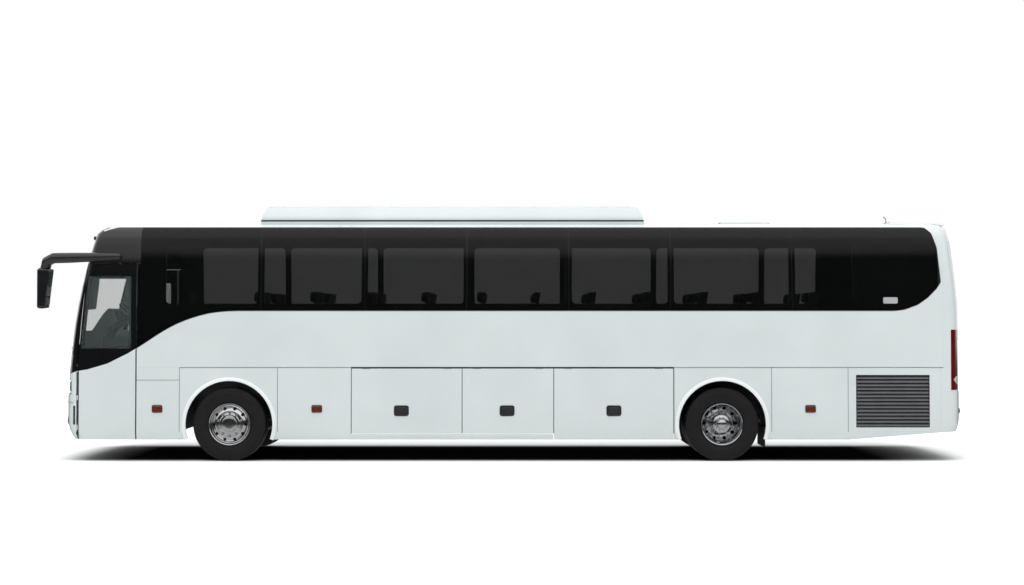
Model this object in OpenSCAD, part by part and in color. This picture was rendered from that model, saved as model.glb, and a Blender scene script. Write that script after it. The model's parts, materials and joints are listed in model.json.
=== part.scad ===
// Twelve point nine metre touring coach on two axles, millimetres.
// +X runs to the rear, +Y to the coach's right-hand side, +Z up. The origin is on the ground,
// midway between the mirror heads' front faces and the rear bumper, on the centre line.

/* [Body] */
// Length from front bumper to rear bumper
body_len = 12900; // [12000:50:13800]
// Width over the side walls
body_w = 2550; // [2450:10:2600]
// Height of the roof crown above the ground
roof_z = 3425; // [3380:5:3700]
// Height of the skirts' lower edge
sill_z = 307; // [280:1:360]
// Height of the belt, where the luggage doors hang
belt_z = 1323; // [1300:1:1400]
// Wall thickness of sides, front and rear
wall = 45; // [35:1:60]
// Wall thickness of the roof
roof_wall = 50; // [35:1:70]
// Thickness of the doors
door_wall = 40; // [30:1:44]
// Seam between two fixed panels
seam = 0.8; // [0.3:0.1:0.9]
// Gap around a moving panel
gap = 10; // [7:1:14]
// How far both bumpers stand proud of the panels above them
bumper_proud = 14; // [6:1:25]

/* [Windows] */
// Glass thickness
glass = 8; // [5:0.5:10]
// Lower edge of the dark window band
band_low = 2131; // [2080:1:2200]
// Upper edge of the dark window band
band_top = 3332; // [3300:1:3350]
// Lower edge of the clear part of the side windows
pane_low = 2235; // [2200:1:2300]
// Upper edge of the clear part of the side windows
pane_top = 3150; // [3000:1:3170]
// Width of a window pillar
pillar_w = 90; // [60:5:140]

/* [Doors] */
// Distance from the front face to the hinge line of the two front doors
door_hinge = 265; // [262:1:280]
// Distance from the front face to the rear edge of the front doors
door_rear = 1101; // [1050:1:1160]
// Height of the front doors' upper edge
door_top = 2800; // [2760:1:2830]
// Radius of the hinge pins
hinge_r = 5; // [4:0.5:6]

/* [Wheels] */
// Distance between the axles
wheelbase = 7000; // [6400:50:7300]
// Distance from the front face to the front axle
front_overhang = 2420; // [2380:10:2700]
// Outer diameter of a tyre
tyre_d = 1044; // [960:2:1060]
// Width of a tyre
tyre_w = 290; // [250:5:315]
// Diameter at the rim's bead seat
bead_d = 572; // [500:2:600]
// Radius of the wheel arch openings
arch_r = 615; // [600:5:640]
// Distance between the two tyres of a twin wheel, centre to centre
twin_pitch = 335; // [325:1:360]
// Distance from the side wall's outside to the outer tyre's outside
tyre_inset = 22; // [15:1:60]
// Offset from the kingpin to the front wheel's centre plane
kingpin_offset = 190; // [170:5:210]

/* [Roof equipment] */
// Distance from the front face to the front of the air conditioner
ac_start = 2810; // [2500:10:3200]
// Length of the air conditioner
ac_len = 5530; // [4000:10:5600]
// Width of the air conditioner
ac_w = 1900; // [1500:10:2000]
// Height of the air conditioner
ac_h = 258; // [200:1:280]
// Distance from the front face to the roof hatch
hatch_at = 9550; // [9000:10:10200]

/* [Mirrors] */
// How far the mirrors reach ahead of the front face
mirror_reach = 320; // [250:5:400]
// Diameter of the mirror arm
arm_d = 150; // [90:1:150]
// Height of the mirror head
head_h = 560; // [400:5:600]

/* [Interior] */
// Top of the passenger deck
deck_z = 1340; // [1335:1:1345]
// Thickness of the passenger deck
deck_t = 50; // [40:1:60]
// Distance between two seat rows
seat_pitch = 800; // [760:5:850]
// Rows of seat pairs on each side
seat_rows = 11; // [6:1:11]
// Diameter of the steering wheel
steering_d = 470; // [420:5:500]

/* [Hidden] */

big = 20000;                    // reaches past everything
fit = 0.4;                      // seat clearance between pieces that touch
half_w = body_w / 2;
front_x = mirror_reach / 2 - body_len / 2;
rear_x = front_x + body_len;
front_axle_x = front_x + front_overhang;
rear_axle_x = front_axle_x + wheelbase;
hub_z = tyre_d / 2;

// ---- the body's outer form -------------------------------------------------------------
shoulder_z = 1950;              // above this the side walls lean inwards
lean = 0.07;                    // share of the half width lost to the lean at the roof
cove_power = 24;                // sharpness of the bend from wall to roof
tuck = 16;                      // how far the skirts turn in at their lower edge
tuck_h = 130;
chin_z = 600;                   // below this both ends curve under
front_chin = 95;
rear_chin = 120;
rake_z = 900;                   // above this the front face leans back
dome_z = 3210;                  // above this the front face turns into the roof
rake = 393;
rake_power = 1.8;
dome_len = 750;
tail_z = 2100;                  // above this the rear face leans forward
tail_top_z = 3267;
tail_lean = 129;
tail_dome = 200;
corner_low = 251;               // depth of the front corners, below and above
corner_high = 165;
rear_corner = 240;
front_square = 4;               // squareness of the two ends in plan
rear_square = 5;
front_angles = [0, 4, 12, 22, 33, 44, 54, 63, 71, 78, 84, 90];
rear_angles = [90, 80, 69, 57, 44, 30, 16, 6, 0];

function clamp01(v) = max(0, min(1, v));
function wall_half(z) = z < sill_z + tuck_h
    ? half_w - tuck * pow((sill_z + tuck_h - z) / tuck_h, 2)
    : z < shoulder_z ? half_w
    : let (s = (z - shoulder_z) / (roof_z - shoulder_z))
        half_w * (1 - lean * s * s) * pow(max(0, 1 - pow(s, cove_power)), 1 / 3);
function quarter(s) = 1 - sqrt(max(0, 1 - s * s));
function front_set(z) = bumper_proud + (z < chin_z
    ? front_chin * pow((chin_z - z) / (chin_z - sill_z), 2)
    : z < rake_z ? 0
    : rake * pow((min(z, dome_z) - rake_z) / (dome_z - rake_z), rake_power)
        + dome_len * quarter(clamp01((z - dome_z) / (roof_z - dome_z))));
function rear_set(z) = bumper_proud + (z < chin_z
    ? rear_chin * pow((chin_z - z) / (chin_z - sill_z), 2)
    : z < tail_z ? 0
    : tail_lean * pow((min(z, tail_top_z) - tail_z) / (tail_top_z - tail_z), 1.4)
        + tail_dome * quarter(clamp01((z - tail_top_z) / (roof_z - tail_top_z))));
function corner(z) = corner_low
    - (corner_low - corner_high) * clamp01((z - 1000) / 1800);

// Half of the plan outline at height z, from the front centre to the rear centre. in_x and in_y
// move it inwards.
function half_ring(z, in_x, in_y) = let (
        w = max(1, wall_half(z) - in_y),
        x0 = front_x + front_set(z) + in_x,
        x1 = rear_x - rear_set(z) - in_x,
        c0 = corner(z) - in_x,
        c1 = rear_corner - in_x)
    concat(
        [for (a = front_angles) [x0 + c0 * (1 - cos(a)), w * pow(sin(a), 2 / front_square)]],
        [for (a = rear_angles) [x1 - c1 * (1 - cos(a)), w * pow(sin(a), 2 / rear_square)]]);
function ring(z, in_x = 0, in_y = 0) = let (h = half_ring(z, in_x, in_y), n = len(h))
    concat(h, [for (i = [n - 2:-1:1]) [h[i][0], -h[i][1]]]);

// Heights at which the form is drawn.
low_levels = [sill_z, sill_z + 45, sill_z + tuck_h, 520, chin_z, rake_z, 1150, belt_z, 1560,
    shoulder_z, 2200, 2450, 2700, 2900, 3060, 3160, 3230, 3290];
cove_shares = [0.2, 0.35, 0.5, 0.65, 0.79, 0.9, 0.965, 0.995];
levels = concat(low_levels,
    [for (k = cove_shares) shoulder_z + (roof_z - shoulder_z) * pow(k, 1 / cove_power)]);
function between(z0, z1) = concat([z0], [for (z = levels) if (z > z0 + 1 && z < z1 - 1) z], [z1]);
function cove_share(z) = z < shoulder_z ? 0
    : pow((z - shoulder_z) / (roof_z - shoulder_z), cove_power);

// The closed form between two heights. drop lowers its roof by that much.
function ring_at(z, in_x, in_y, drop) =
    [for (p = ring(z, in_x, in_y)) [p[0], p[1], z - drop * cove_share(z)]];
module form(z0, z1, in_x = 0, in_y = 0, drop = 0) {
    zs = between(z0, z1);
    n = len(ring(z0));
    round_trip = [for (k = [0:n - 1]) k];
    for (i = [0:len(zs) - 2])
        hull() polyhedron(
            points = concat(ring_at(zs[i], in_x, in_y, drop), ring_at(zs[i + 1], in_x, in_y, drop)),
            faces = concat([[for (k = round_trip) n - 1 - k]], [[for (k = round_trip) n + k]],
                [for (k = round_trip) [k, (k + 1) % n, n + (k + 1) % n, n + k]]));
}

// A prism whose side view is the polygon, given as distance behind the front face and height.
module side_prism(points, y0, y1)
    translate([front_x, y1, 0]) rotate([90, 0, 0]) linear_extrude(y1 - y0) polygon(points);
// A prism whose rear view is the polygon, given as y and height.
module end_prism(points, x0, x1)
    translate([x0, 0, 0]) rotate([90, 0, 90]) linear_extrude(x1 - x0) polygon(points);
module on_side(side, depth = big)
    translate([-big / 2, side > 0 ? 0 : -depth, -big / 2]) cube([big, depth, big]);

module across(x, y, z, r, h)
    translate([x, y - h / 2, z]) rotate([-90, 0, 0]) cylinder(r = r, h = h, $fn = 32);
module along(d, y, z, r, h)
    translate([front_x + d, y, z]) rotate([0, 90, 0]) cylinder(r = r, h = h, $fn = 32);
module upright(d, y, z, r, h) translate([front_x + d, y, z]) cylinder(r = r, h = h, $fn = 40);
module block(d0, d1, y0, y1, z0, z1)
    translate([front_x + d0, y0, z0]) cube([d1 - d0, y1 - y0, z1 - z0]);
module on_both_sides() for (side = [-1, 1]) scale([1, side, 1]) children();

function arc(cx, cy, r, a0, a1, n) =
    [for (i = [0:n]) let (a = a0 + (a1 - a0) * i / n) [cx + r * cos(a), cy + r * sin(a)]];
function round_box(x0, z0, x1, z1, r) = concat(
    arc(x0 + r, z0 + r, r, 180, 270, 4), arc(x1 - r, z0 + r, r, 270, 360, 4),
    arc(x1 - r, z1 - r, r, 0, 90, 4), arc(x0 + r, z1 - r, r, 90, 180, 4));

// ---- outlines in the side view ---------------------------------------------------------
screen_low = 1550;              // lower edge of the windscreen
screen_top = 2692;
screen_wrap = 62;               // how far the windscreen reaches round the corners
flange = 35;                    // width of the ledge that carries a pane
frame_end = 1150;               // distance to the joint between front frame and side windows
rear_split = body_len - 340;    // distance to the joint between side walls and rear panel
tail_split = body_len - 380;    // distance to the rear bumper's front edge
door_tilt = 0.086;              // lean of the front doors' front edge
door_bend_z = 1400;
bumper_top = 937;

hinge_y = half_w - 5;           // hinge lines lie just inside the skin
hinge_clear = 0.3;              // between a hinge pin and its knuckle
knuckle_r = 9;
groove_r = 15;                  // clears the hinge knuckles
front_hinges = [480, 900, 1300];    // heights of the front doors' hinge knuckles
module door_groove(side) translate([front_x + door_hinge, side * hinge_y, front_hinges[0] - 130])
    cylinder(r = groove_r, h = front_hinges[2] - front_hinges[0] + 210, $fn = 32);

function hinge_edge(z) = door_hinge + door_tilt * max(0, z - door_bend_z);
function door_outline(grow = 0) = [[hinge_edge(0) + gap - grow, sill_z],
    [hinge_edge(0) + gap - grow, door_bend_z], [hinge_edge(door_top) + gap - grow, door_top + grow],
    [door_rear - gap / 2 + grow, door_top + grow], [door_rear - gap / 2 + grow, sill_z]];
pane_bend_z = 1640;
function window_front(z) = door_hinge + 52 + 0.098 * (z - pane_bend_z);
function door_pane(z0, grow) = [[window_front(pane_bend_z) - grow, z0 - grow],
    [door_rear - 79 + grow, z0 - grow], [door_rear - 79 + grow, 2624 + grow],
    [window_front(2624) - grow, 2624 + grow], [window_front(pane_bend_z) - grow, pane_bend_z]];
driver_pane_low = 1600;
entry_pane_low = 760;

// The dark band rises from the front door to the belt of the windows along two arcs.
// Its points are given as distance behind the front doors and height below the band's edge.
swoop_bottom = [[0, -529], [109, -463], [308, -331], [459, -241], [594, -174],
    [729, -120], [880, -71], [1019, -37], [1166, -15], [1309, -4], [1452, 0]];
band_rear = body_len - 366;     // rear end of the dark band
function band_outline(grow = 0) = concat(
    [for (p = swoop_bottom) [door_rear + p[0] - (p[0] == 0 ? grow : 0), band_low + p[1] - grow]],
    [[band_rear - 668, band_low - grow], [band_rear - 520, band_low + 18 - grow],
     [band_rear - 330, band_low + 88 - grow], [band_rear - 186, band_low + 190],
     [band_rear - 60 + grow, band_low + 318], [band_rear + grow, band_low + 410],
     [band_rear - 45 + grow, band_top - 300], [band_rear - 115 + grow, band_top - 90],
     [band_rear - 190, band_top - 12 + grow], [band_rear - 260, band_top + grow],
     [frame_end + seam - grow, band_top + grow], [frame_end + seam - grow, door_top],
     [door_rear + gap / 2 - grow, door_top]]);
// Centres of the pillars between the panes, and the clear openings.
pillar_at = [2867, 4340, 5792, 7243, 8694, 10418];
clear_from = concat([door_rear + 409], [for (p = pillar_at) p + pillar_w / 2]);
clear_to = concat([for (p = pillar_at) p - pillar_w / 2], [body_len - 1620]);

// Luggage doors, from front to rear: start, end and lower edge.
sill_strip_z = 379;
luggage_from = front_overhang + 1734;
luggage_to = front_overhang + wheelbase - 690;
luggage_w = [1573, 1301];       // widths of the first two doors, the third takes the rest
luggage = [[luggage_from, luggage_from + luggage_w[0], sill_strip_z],
    [luggage_from + luggage_w[0], luggage_from + luggage_w[0] + luggage_w[1], sill_strip_z],
    [luggage_from + luggage_w[0] + luggage_w[1], luggage_to, sill_z]];
// Behind tail_from the skirts' lower edge rises towards the rear bumper.
tail_from = body_len - 1682;
tail_rise = 100;
function tail_low(d) = sill_z + max(0, d - tail_from) * tail_rise / (tail_split - tail_from);
grille_from = body_len - 1582;
grille_to = body_len - 538;
grille_low = 479;
grille_top = 1223;

// ---- roof and walls --------------------------------------------------------------------
hatch_len = 720;
hatch_w = 620;
lid_h = 34;
module roof() color("white") difference() {
    union() {
        form(band_top + seam, roof_z);
        tail_fairing();
    }
    form(band_top - 40, roof_z, roof_wall, roof_wall, roof_wall);
    translate([front_x + hatch_at + flange, -hatch_w / 2 + flange, roof_z - 300])
        cube([hatch_len - 2 * flange, hatch_w - 2 * flange, 600]);
}
// The low raised deck at the rear end of the roof.
fairing_from = body_len - 1010;
fairing_h = 20;
module tail_fairing() hull() {
    translate([front_x + fairing_from + 120, -900, roof_z - 60]) cube([560, 1800, 60 + fairing_h]);
    translate([front_x + fairing_from, -960, roof_z - 60]) cube([780, 1920, 50]);
}

function wall_outline() = [[door_rear + gap / 2, belt_z + gap], [rear_split, belt_z + gap],
    [rear_split, band_top], [frame_end + seam, band_top], [frame_end + seam, door_top + seam],
    [door_rear + gap / 2, door_top + seam]];
module side_wall(side) color("white") difference() {
    intersection() {
        form(belt_z, band_top + 60);
        side_prism(wall_outline(), -big, big);
        on_side(side);
    }
    along(luggage_from - gap / 2, side * hinge_y, belt_z, groove_r,
        luggage_to - luggage_from + gap);
    form(belt_z - 40, band_top + 80, wall, wall, roof_wall);
    intersection() {
        difference() {
            form(belt_z, band_top + 70, -10, -10, -10);
            form(belt_z - 10, band_top + 75, glass + fit, glass + fit);
        }
        side_prism(band_outline(3), -big, big);
    }
    for (i = [0:len(clear_from) - 1])
        side_prism(round_box(clear_from[i], pane_low, clear_to[i], pane_top, 60), -big, big);
}
module side_windows() color("#16181a") for (side = [-1, 1]) intersection() {
    difference() {
        form(belt_z, band_top + 10);
        form(belt_z - 10, band_top + 20, glass, glass);
        for (d = pillar_at)
            translate([front_x + d - 3, -big / 2, 0]) cube([6, big, big]);
    }
    side_prism(band_outline(0), -big, big);
    on_side(side);
}

// ---- front end -------------------------------------------------------------------------
function screen_edge(z, grow) = front_set(z) + screen_wrap + grow;
screen_levels = [screen_low, 1750, 1950, 2150, 2350, 2550, screen_top];
function screen_outline(grow) = concat([[-500, screen_low - grow]],
    [for (z = screen_levels)
        [screen_edge(z, grow), z + (z == screen_low ? -grow : z == screen_top ? grow : 0)]],
    [[-500, screen_top + grow]]);
frame_low = screen_low - 40;
function frame_outline() = [[-500, frame_low], [hinge_edge(frame_low) - gap, frame_low],
    [hinge_edge(door_top) - gap, door_top + gap], [frame_end, door_top + gap],
    [frame_end, band_top], [-500, band_top]];
module front_frame() color("#101214") difference() {
    intersection() {
        form(screen_low - 60, band_top + 40);
        side_prism(frame_outline(), -big, big);
    }
    form(screen_low - 80, band_top + 80, wall, wall, roof_wall);
    intersection() {
        difference() {
            form(screen_low - 80, band_top, -10, -10);
            form(screen_low - 90, band_top + 10, glass + fit, glass + fit);
        }
        side_prism(screen_outline(3), -big, big);
    }
    side_prism(screen_outline(-flange), -big, big);
}
module windscreen() color("#2a3134") intersection() {
    difference() {
        form(screen_low - 20, screen_top + 20);
        form(screen_low - 30, screen_top + 30, glass, glass);
    }
    side_prism(screen_outline(0), -big, big);
}
lamp_low = 950;
lamp_top = 1150;
lamp_inner = 720;               // inner edge of the headlamps
lamp_depth = 168;               // how far they reach round the corner
module lamp_prism(side, grow) end_prism(
    [for (p = round_box(lamp_inner - grow, lamp_low - grow, half_w + 40, lamp_top + grow, 30))
        [side * p[0], p[1]]], front_x - 200, front_x + lamp_depth + grow);
module front_panel() color("white") difference() {
    intersection() {
        form(bumper_top + seam, screen_low);
        side_prism([[-500, bumper_top], [door_hinge - gap, bumper_top], [door_hinge - gap, door_bend_z],
            [hinge_edge(frame_low) - gap, frame_low - seam], [-500, frame_low - seam]], -big, big);
    }
    form(bumper_top - 20, screen_low + 20, wall, wall);
    for (side = [-1, 1]) {
        lamp_prism(side, 0);
        door_groove(side);
    }
}
module headlamps() color("#c8cdd2") for (side = [-1, 1]) difference() {
    intersection() {
        form(lamp_low - 5, lamp_top + 5, 1.5, 1.5);
        lamp_prism(side, -fit);
    }
    form(lamp_low - 10, lamp_top + 10, wall + 25, wall + 25);
}
module front_bumper() color("white") difference() {
    intersection() {
        form(sill_z, bumper_top, -bumper_proud, 0);
        side_prism([[-500, sill_z], [door_hinge - gap, sill_z], [door_hinge - gap, bumper_top],
            [-500, bumper_top]], -big, big);
    }
    form(sill_z - 10, bumper_top + 10, wall - bumper_proud, wall);
    for (side = [-1, 1]) door_groove(side);
    along(-100, tow_y, tow_z, tow_outer_r + 8, 400);
}

// ---- rear end --------------------------------------------------------------------------
engine_low = 1040;
engine_top = 1900;
engine_w = 1700;
rear_glass = [2280, 3120, 1900];    // low edge, high edge and width of the rear window
lamp_in = 1030;                     // inner edge of the tail lamps
tail_lamp_low = 1008;
tail_lamp_top = 1866;
tail_lamp_from = body_len - 232;
module tail_lamp_prism(side, grow) intersection() {
    end_prism([for (p = round_box(lamp_in - grow, tail_lamp_low - grow, half_w + 120,
        tail_lamp_top + grow, 70)) [side * p[0], p[1]]], rear_x - 400, rear_x + 100);
    translate([front_x + tail_lamp_from - grow, -big / 2, 0]) cube([600, big, big]);
}
module engine_opening(grow) end_prism(round_box(-engine_w / 2 - grow, engine_low - grow,
    engine_w / 2 + grow, engine_top + 2 * grow, 40), rear_x - 400, rear_x + 200);
module rear_window_prism(grow) end_prism(round_box(-rear_glass[2] / 2 - grow, rear_glass[0] - grow,
    rear_glass[2] / 2 + grow, rear_glass[1] + grow, 90), rear_x - 500, rear_x + 200);
module rear_panel() color("white") difference() {
    intersection() {
        form(bumper_top + 50 + seam, band_top);
        side_prism([[tail_split + seam, bumper_top], [body_len + 100, bumper_top],
            [body_len + 100, band_top], [rear_split + seam, band_top],
            [rear_split + seam, belt_z + gap - seam], [tail_split + seam, belt_z + gap - seam]],
            -big, big);
    }
    form(bumper_top - 20, band_top + 40, wall, wall, roof_wall);
    for (side = [-1, 1]) tail_lamp_prism(side, 0);
    engine_opening(gap);
    across(engine_hinge_x, 0, engine_hinge_z, groove_r, engine_w - 80);
    rear_window_prism(-flange);
    intersection() {
        difference() {
            form(bumper_top, band_top + 20, -10, -10);
            form(bumper_top - 5, band_top + 30, glass + fit, glass + fit);
        }
        rear_window_prism(3);
    }
}
module rear_window() color("#16181a") intersection() {
    difference() {
        form(rear_glass[0] - 40, rear_glass[1] + 40);
        form(rear_glass[0] - 50, rear_glass[1] + 50, glass, glass);
    }
    rear_window_prism(0);
}
module tail_lamps() color("#8c1010") for (side = [-1, 1]) difference() {
    intersection() {
        form(tail_lamp_low - 5, tail_lamp_top + 5, 1.5, 1.5);
        tail_lamp_prism(side, -fit);
    }
    form(tail_lamp_low - 20, tail_lamp_top + 20, wall + 15, wall + 15);
}
module rear_bumper() color("white") difference() {
    intersection() {
        form(sill_z + 60, bumper_top + 50, -bumper_proud, 0);
        side_prism([[tail_split + seam, tail_low(tail_split)],
            [body_len + 100, tail_low(tail_split) + 20],
            [body_len + 100, bumper_top + 50], [tail_split + seam, bumper_top + 50]], -big, big);
    }
    form(sill_z, bumper_top + 60, wall - bumper_proud, wall);
    along(body_len - 300, tow_y, tow_z, tow_outer_r + 8, 400);
}
engine_hinge_x = rear_x - bumper_proud - 5;
engine_hinge_z = engine_top + gap;
engine_hinges = [-500, 500];
module engine_door() color("white") {
    difference() {
        intersection() {
            form(engine_low - 20, engine_top + 20);
            engine_opening(0);
        }
        form(engine_low - 30, engine_top + 30, door_wall, door_wall);
        for (y = engine_hinges) across(engine_hinge_x, y, engine_hinge_z, 16, 110);
    }
    for (y = engine_hinges) difference() {
        union() {
            across(engine_hinge_x, y, engine_hinge_z, knuckle_r, 100);
            translate([engine_hinge_x - 8, y - 50, engine_top - 26]) cube([8, 100, 26 + gap]);
        }
        across(engine_hinge_x, y, engine_hinge_z, hinge_r + hinge_clear, 120);
    }
}

// ---- skirts ----------------------------------------------------------------------------
module arch_cut(x, r) {
    translate([x, big / 2, hub_z]) rotate([90, 0, 0]) cylinder(r = r, h = big, $fn = 56);
    translate([x - r, -big / 2, 0]) cube([2 * r, big, hub_z]);
}
module skirt(side) color("white") difference() {
    intersection() {
        form(sill_z, belt_z + gap - seam);
        side_prism([[door_rear + gap / 2, sill_z], [tail_from, sill_z],
            [tail_split, tail_low(tail_split)],
            [tail_split, belt_z + gap - seam], [door_rear + gap / 2, belt_z + gap - seam]], -big, big);
        on_side(side);
    }
    form(sill_z - 10, belt_z + gap + 10, wall, wall);
    for (x = [front_axle_x, rear_axle_x]) arch_cut(x, arch_r);
    for (b = luggage)
        translate([front_x + b[0] - gap / 2, -big / 2, b[2] - (b[2] == sill_z ? 100 : 0)])
            cube([b[1] - b[0] + gap, big, big]);
    translate([front_x + grille_from, -big / 2, grille_low])
        cube([grille_to - grille_from, big, grille_top - grille_low]);
}
slats = 14;
module side_grilles() color("#30343a") for (side = [-1, 1]) {
    h = grille_top - grille_low;
    pitch = h / slats;
    translate([front_x + grille_from + fit, side * (half_w - 21) - 16, grille_low + fit])
        difference() {
            cube([grille_to - grille_from - 2 * fit, 32, h - 2 * fit]);
            for (i = [0:slats - 1])
                translate([18, -10, i * pitch + pitch * 0.3])
                    cube([grille_to - grille_from - 36, 60, pitch * 0.45]);
        }
}

// ---- moving doors ----------------------------------------------------------------------
module door_skin(side, pane_z) difference() {
    intersection() {
        form(sill_z, door_top);
        side_prism(door_outline(), -big, big);
        on_side(side);
    }
    form(sill_z - 10, door_top + 10, door_wall, door_wall);
    side_prism(door_pane(pane_z, -flange), -big, big);
    intersection() {
        difference() {
            form(sill_z - 5, door_top + 5, -10, -10);
            form(sill_z - 10, door_top + 10, glass + fit, glass + fit);
        }
        side_prism(door_pane(pane_z, 3), -big, big);
    }
    for (z = front_hinges)
        translate([front_x + door_hinge, side * hinge_y, z - 42]) cylinder(r = 16, h = 84, $fn = 32);
}
module door_knuckles(side) for (z = front_hinges) difference() {
    union() {
        translate([front_x + door_hinge, side * hinge_y, z - 35]) cylinder(r = knuckle_r, h = 70, $fn = 32);
        translate([front_x + door_hinge, side * (hinge_y - 4) - 4, z - 35]) cube([gap + 24, 8, 70]);
    }
    translate([front_x + door_hinge, side * hinge_y, z - 40])
        cylinder(r = hinge_r + hinge_clear, h = 80, $fn = 32);
}
module front_door(side, pane_z) {
    door_skin(side, pane_z);
    door_knuckles(side);
}
module door_glass(side, pane_z) color("#2a3134") intersection() {
    difference() {
        form(sill_z, door_top);
        form(sill_z - 10, door_top + 10, glass, glass);
    }
    side_prism(door_pane(pane_z, 0), -big, big);
    on_side(side);
}

// A luggage door hangs from the belt on a rod.
function skirt_section(z0, z1, t) = let (zs = [for (z = levels) if (z > z0 + 5 && z < z1 - 5) z])
    concat([[wall_half(z0), z0]], [for (z = zs) [wall_half(z), z]], [[wall_half(z1), z1]],
        [[half_w - t, z1], [half_w - t, z0]]);
module luggage_door(side, b) color("white") {
    x0 = front_x + b[0] + gap / 2;
    x1 = front_x + b[1] - gap / 2;
    difference() {
        end_prism([for (p = skirt_section(b[2] + (b[2] == sill_z ? 0 : gap), belt_z - gap, door_wall))
            [side * p[0], p[1]]], x0, x1);
        for (x = [x0 + 200, x1 - 200])
            along(x - 55 - front_x, side * hinge_y, belt_z, 16, 110);
    }
    for (x = [x0 + 200, x1 - 200]) difference() {
        union() {
            along(x - 50 - front_x, side * hinge_y, belt_z, knuckle_r, 100);
            translate([x - 50, side * (hinge_y - 4) - 4, belt_z - gap - 26]) cube([100, 8, gap + 26]);
        }
        along(x - 60 - front_x, side * hinge_y, belt_z, hinge_r + hinge_clear, 120);
    }
}
module door_hinges() color("#202428") {
    for (side = [-1, 1]) {
        y = side * hinge_y;
        along(luggage_from + 20, y, belt_z, hinge_r, luggage_to - luggage_from - 40);
        for (b = luggage, x = [b[0] + 90, b[1] - 90])
            translate([front_x + x - 30, y - 3, belt_z]) cube([60, 6, groove_r - 0.6]);
        translate([front_x + door_hinge, y, front_hinges[0] - 120])
            cylinder(r = hinge_r, h = front_hinges[2] - front_hinges[0] + 200, $fn = 32);
        for (z = [front_hinges[0] - 100, front_hinges[2] + 40])
            translate([front_x + door_hinge - groove_r + 0.6, y - 3, z]) cube([groove_r, 6, 36]);
    }
    across(engine_hinge_x, 0, engine_hinge_z, hinge_r, engine_w - 120);
    for (y = [-650, 650])
        translate([engine_hinge_x - 3, y - 30, engine_hinge_z]) cube([6, 60, groove_r - 0.6]);
    across(front_x + hatch_at - 14, 0, hatch_hinge_z, hinge_r, hatch_w - 60);
    for (y = [-270, 240])
        translate([front_x + hatch_at - 17, y, roof_z + fit]) cube([6, 30, hatch_hinge_z - roof_z]);
}

// ---- roof equipment --------------------------------------------------------------------
hatch_hinge_z = roof_z + 26;
module roof_hatch() color("white") {
    x0 = front_x + hatch_at;
    difference() {
        hull() {
            translate([x0, -hatch_w / 2, roof_z + 8]) cube([hatch_len, hatch_w, 16]);
            translate([x0 + 20, -hatch_w / 2 + 20, roof_z + 8]) cube([hatch_len - 40, hatch_w - 40, lid_h]);
        }
        translate([x0 + 15, -hatch_w / 2 + 15, roof_z]) cube([hatch_len - 30, hatch_w - 30, 18]);
    }
    for (y = [-180, 180]) difference() {
        union() {
            across(x0 - 14, y, hatch_hinge_z, knuckle_r, 60);
            translate([x0 - 14, y - 30, hatch_hinge_z - 10]) cube([18, 60, 7]);
        }
        across(x0 - 14, y, hatch_hinge_z, hinge_r + hinge_clear, 70);
    }
}
plinth_h = 40;                  // the dark base shows below the cover
ac_lean = 84;                   // how far the cover's ends lean in
module roof_air_conditioner() color("white") difference() {
    union() {
        block(ac_start, ac_start + ac_len, -ac_w / 2, ac_w / 2, roof_z - 70, roof_z + plinth_h - 8);
        hull() {
            block(ac_start + 12, ac_start + ac_len - 12, 12 - ac_w / 2, ac_w / 2 - 12,
                roof_z + plinth_h - 9, roof_z + plinth_h + 40);
            block(ac_start + ac_lean, ac_start + ac_len - ac_lean, 70 - ac_w / 2, ac_w / 2 - 70,
                roof_z, roof_z + ac_h - 50);
            block(ac_start + ac_lean + 70, ac_start + ac_len - ac_lean - 140,
                170 - ac_w / 2, ac_w / 2 - 170, roof_z, roof_z + ac_h - 14);
            block(ac_start + ac_lean + 230, ac_start + ac_len - ac_lean - 420,
                380 - ac_w / 2, ac_w / 2 - 380, roof_z, roof_z + ac_h);
        }
    }
    form(roof_z - 120, roof_z, -0.3, -0.3, -0.3);
}
arm_z = 2886;
head_top = 2735;
head_from = -mirror_reach;
head_depth = 165;               // at the top; the head tapers to head_foot
head_foot = 105;
head_y = half_w - 125;
head_w = 250;
module arm_joint(d, y, z, r) translate([front_x + d, y, z]) sphere(r = r, $fn = 14);
module mirrors() color("#17191b") for (side = [-1, 1]) {
    r = arm_d / 2;
    points = [[830, half_w - 25, arm_z + 18, 0.66], [500, half_w + 5, arm_z + 10, 0.86],
        [120, half_w + 12, arm_z, 1], [-80, half_w, arm_z - 4, 1],
        [-190, half_w - 50, arm_z - 50, 0.98], [-236, head_y + 10, head_top - 10, 0.98]];
    difference() {
        for (i = [0:len(points) - 2]) hull() for (p = [points[i], points[i + 1]])
            arm_joint(p[0], side * p[1], p[2], p[3] * r);
        form(arm_z - 200, arm_z + 200, -0.3, -0.3);
    }
    hull() for (z = [head_top - head_h, head_top], y = [-1, 1])
        translate([front_x + head_from + 24, side * head_y + y * (head_w / 2 - 40),
            z + (z == head_top ? -30 : 30)]) rotate([0, 90, 0])
                cylinder(r1 = 40, r2 = 26, h = (z == head_top ? head_depth : head_foot) - 24, $fn = 20);
    hull() for (z = [head_top - head_h + 30, head_top - 30], y = [-1, 1])
        translate([front_x + head_from, side * head_y + y * (head_w / 2 - 40), z])
            rotate([0, 90, 0]) cylinder(r1 = 26, r2 = 40, h = 26, $fn = 20);
}

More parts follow.
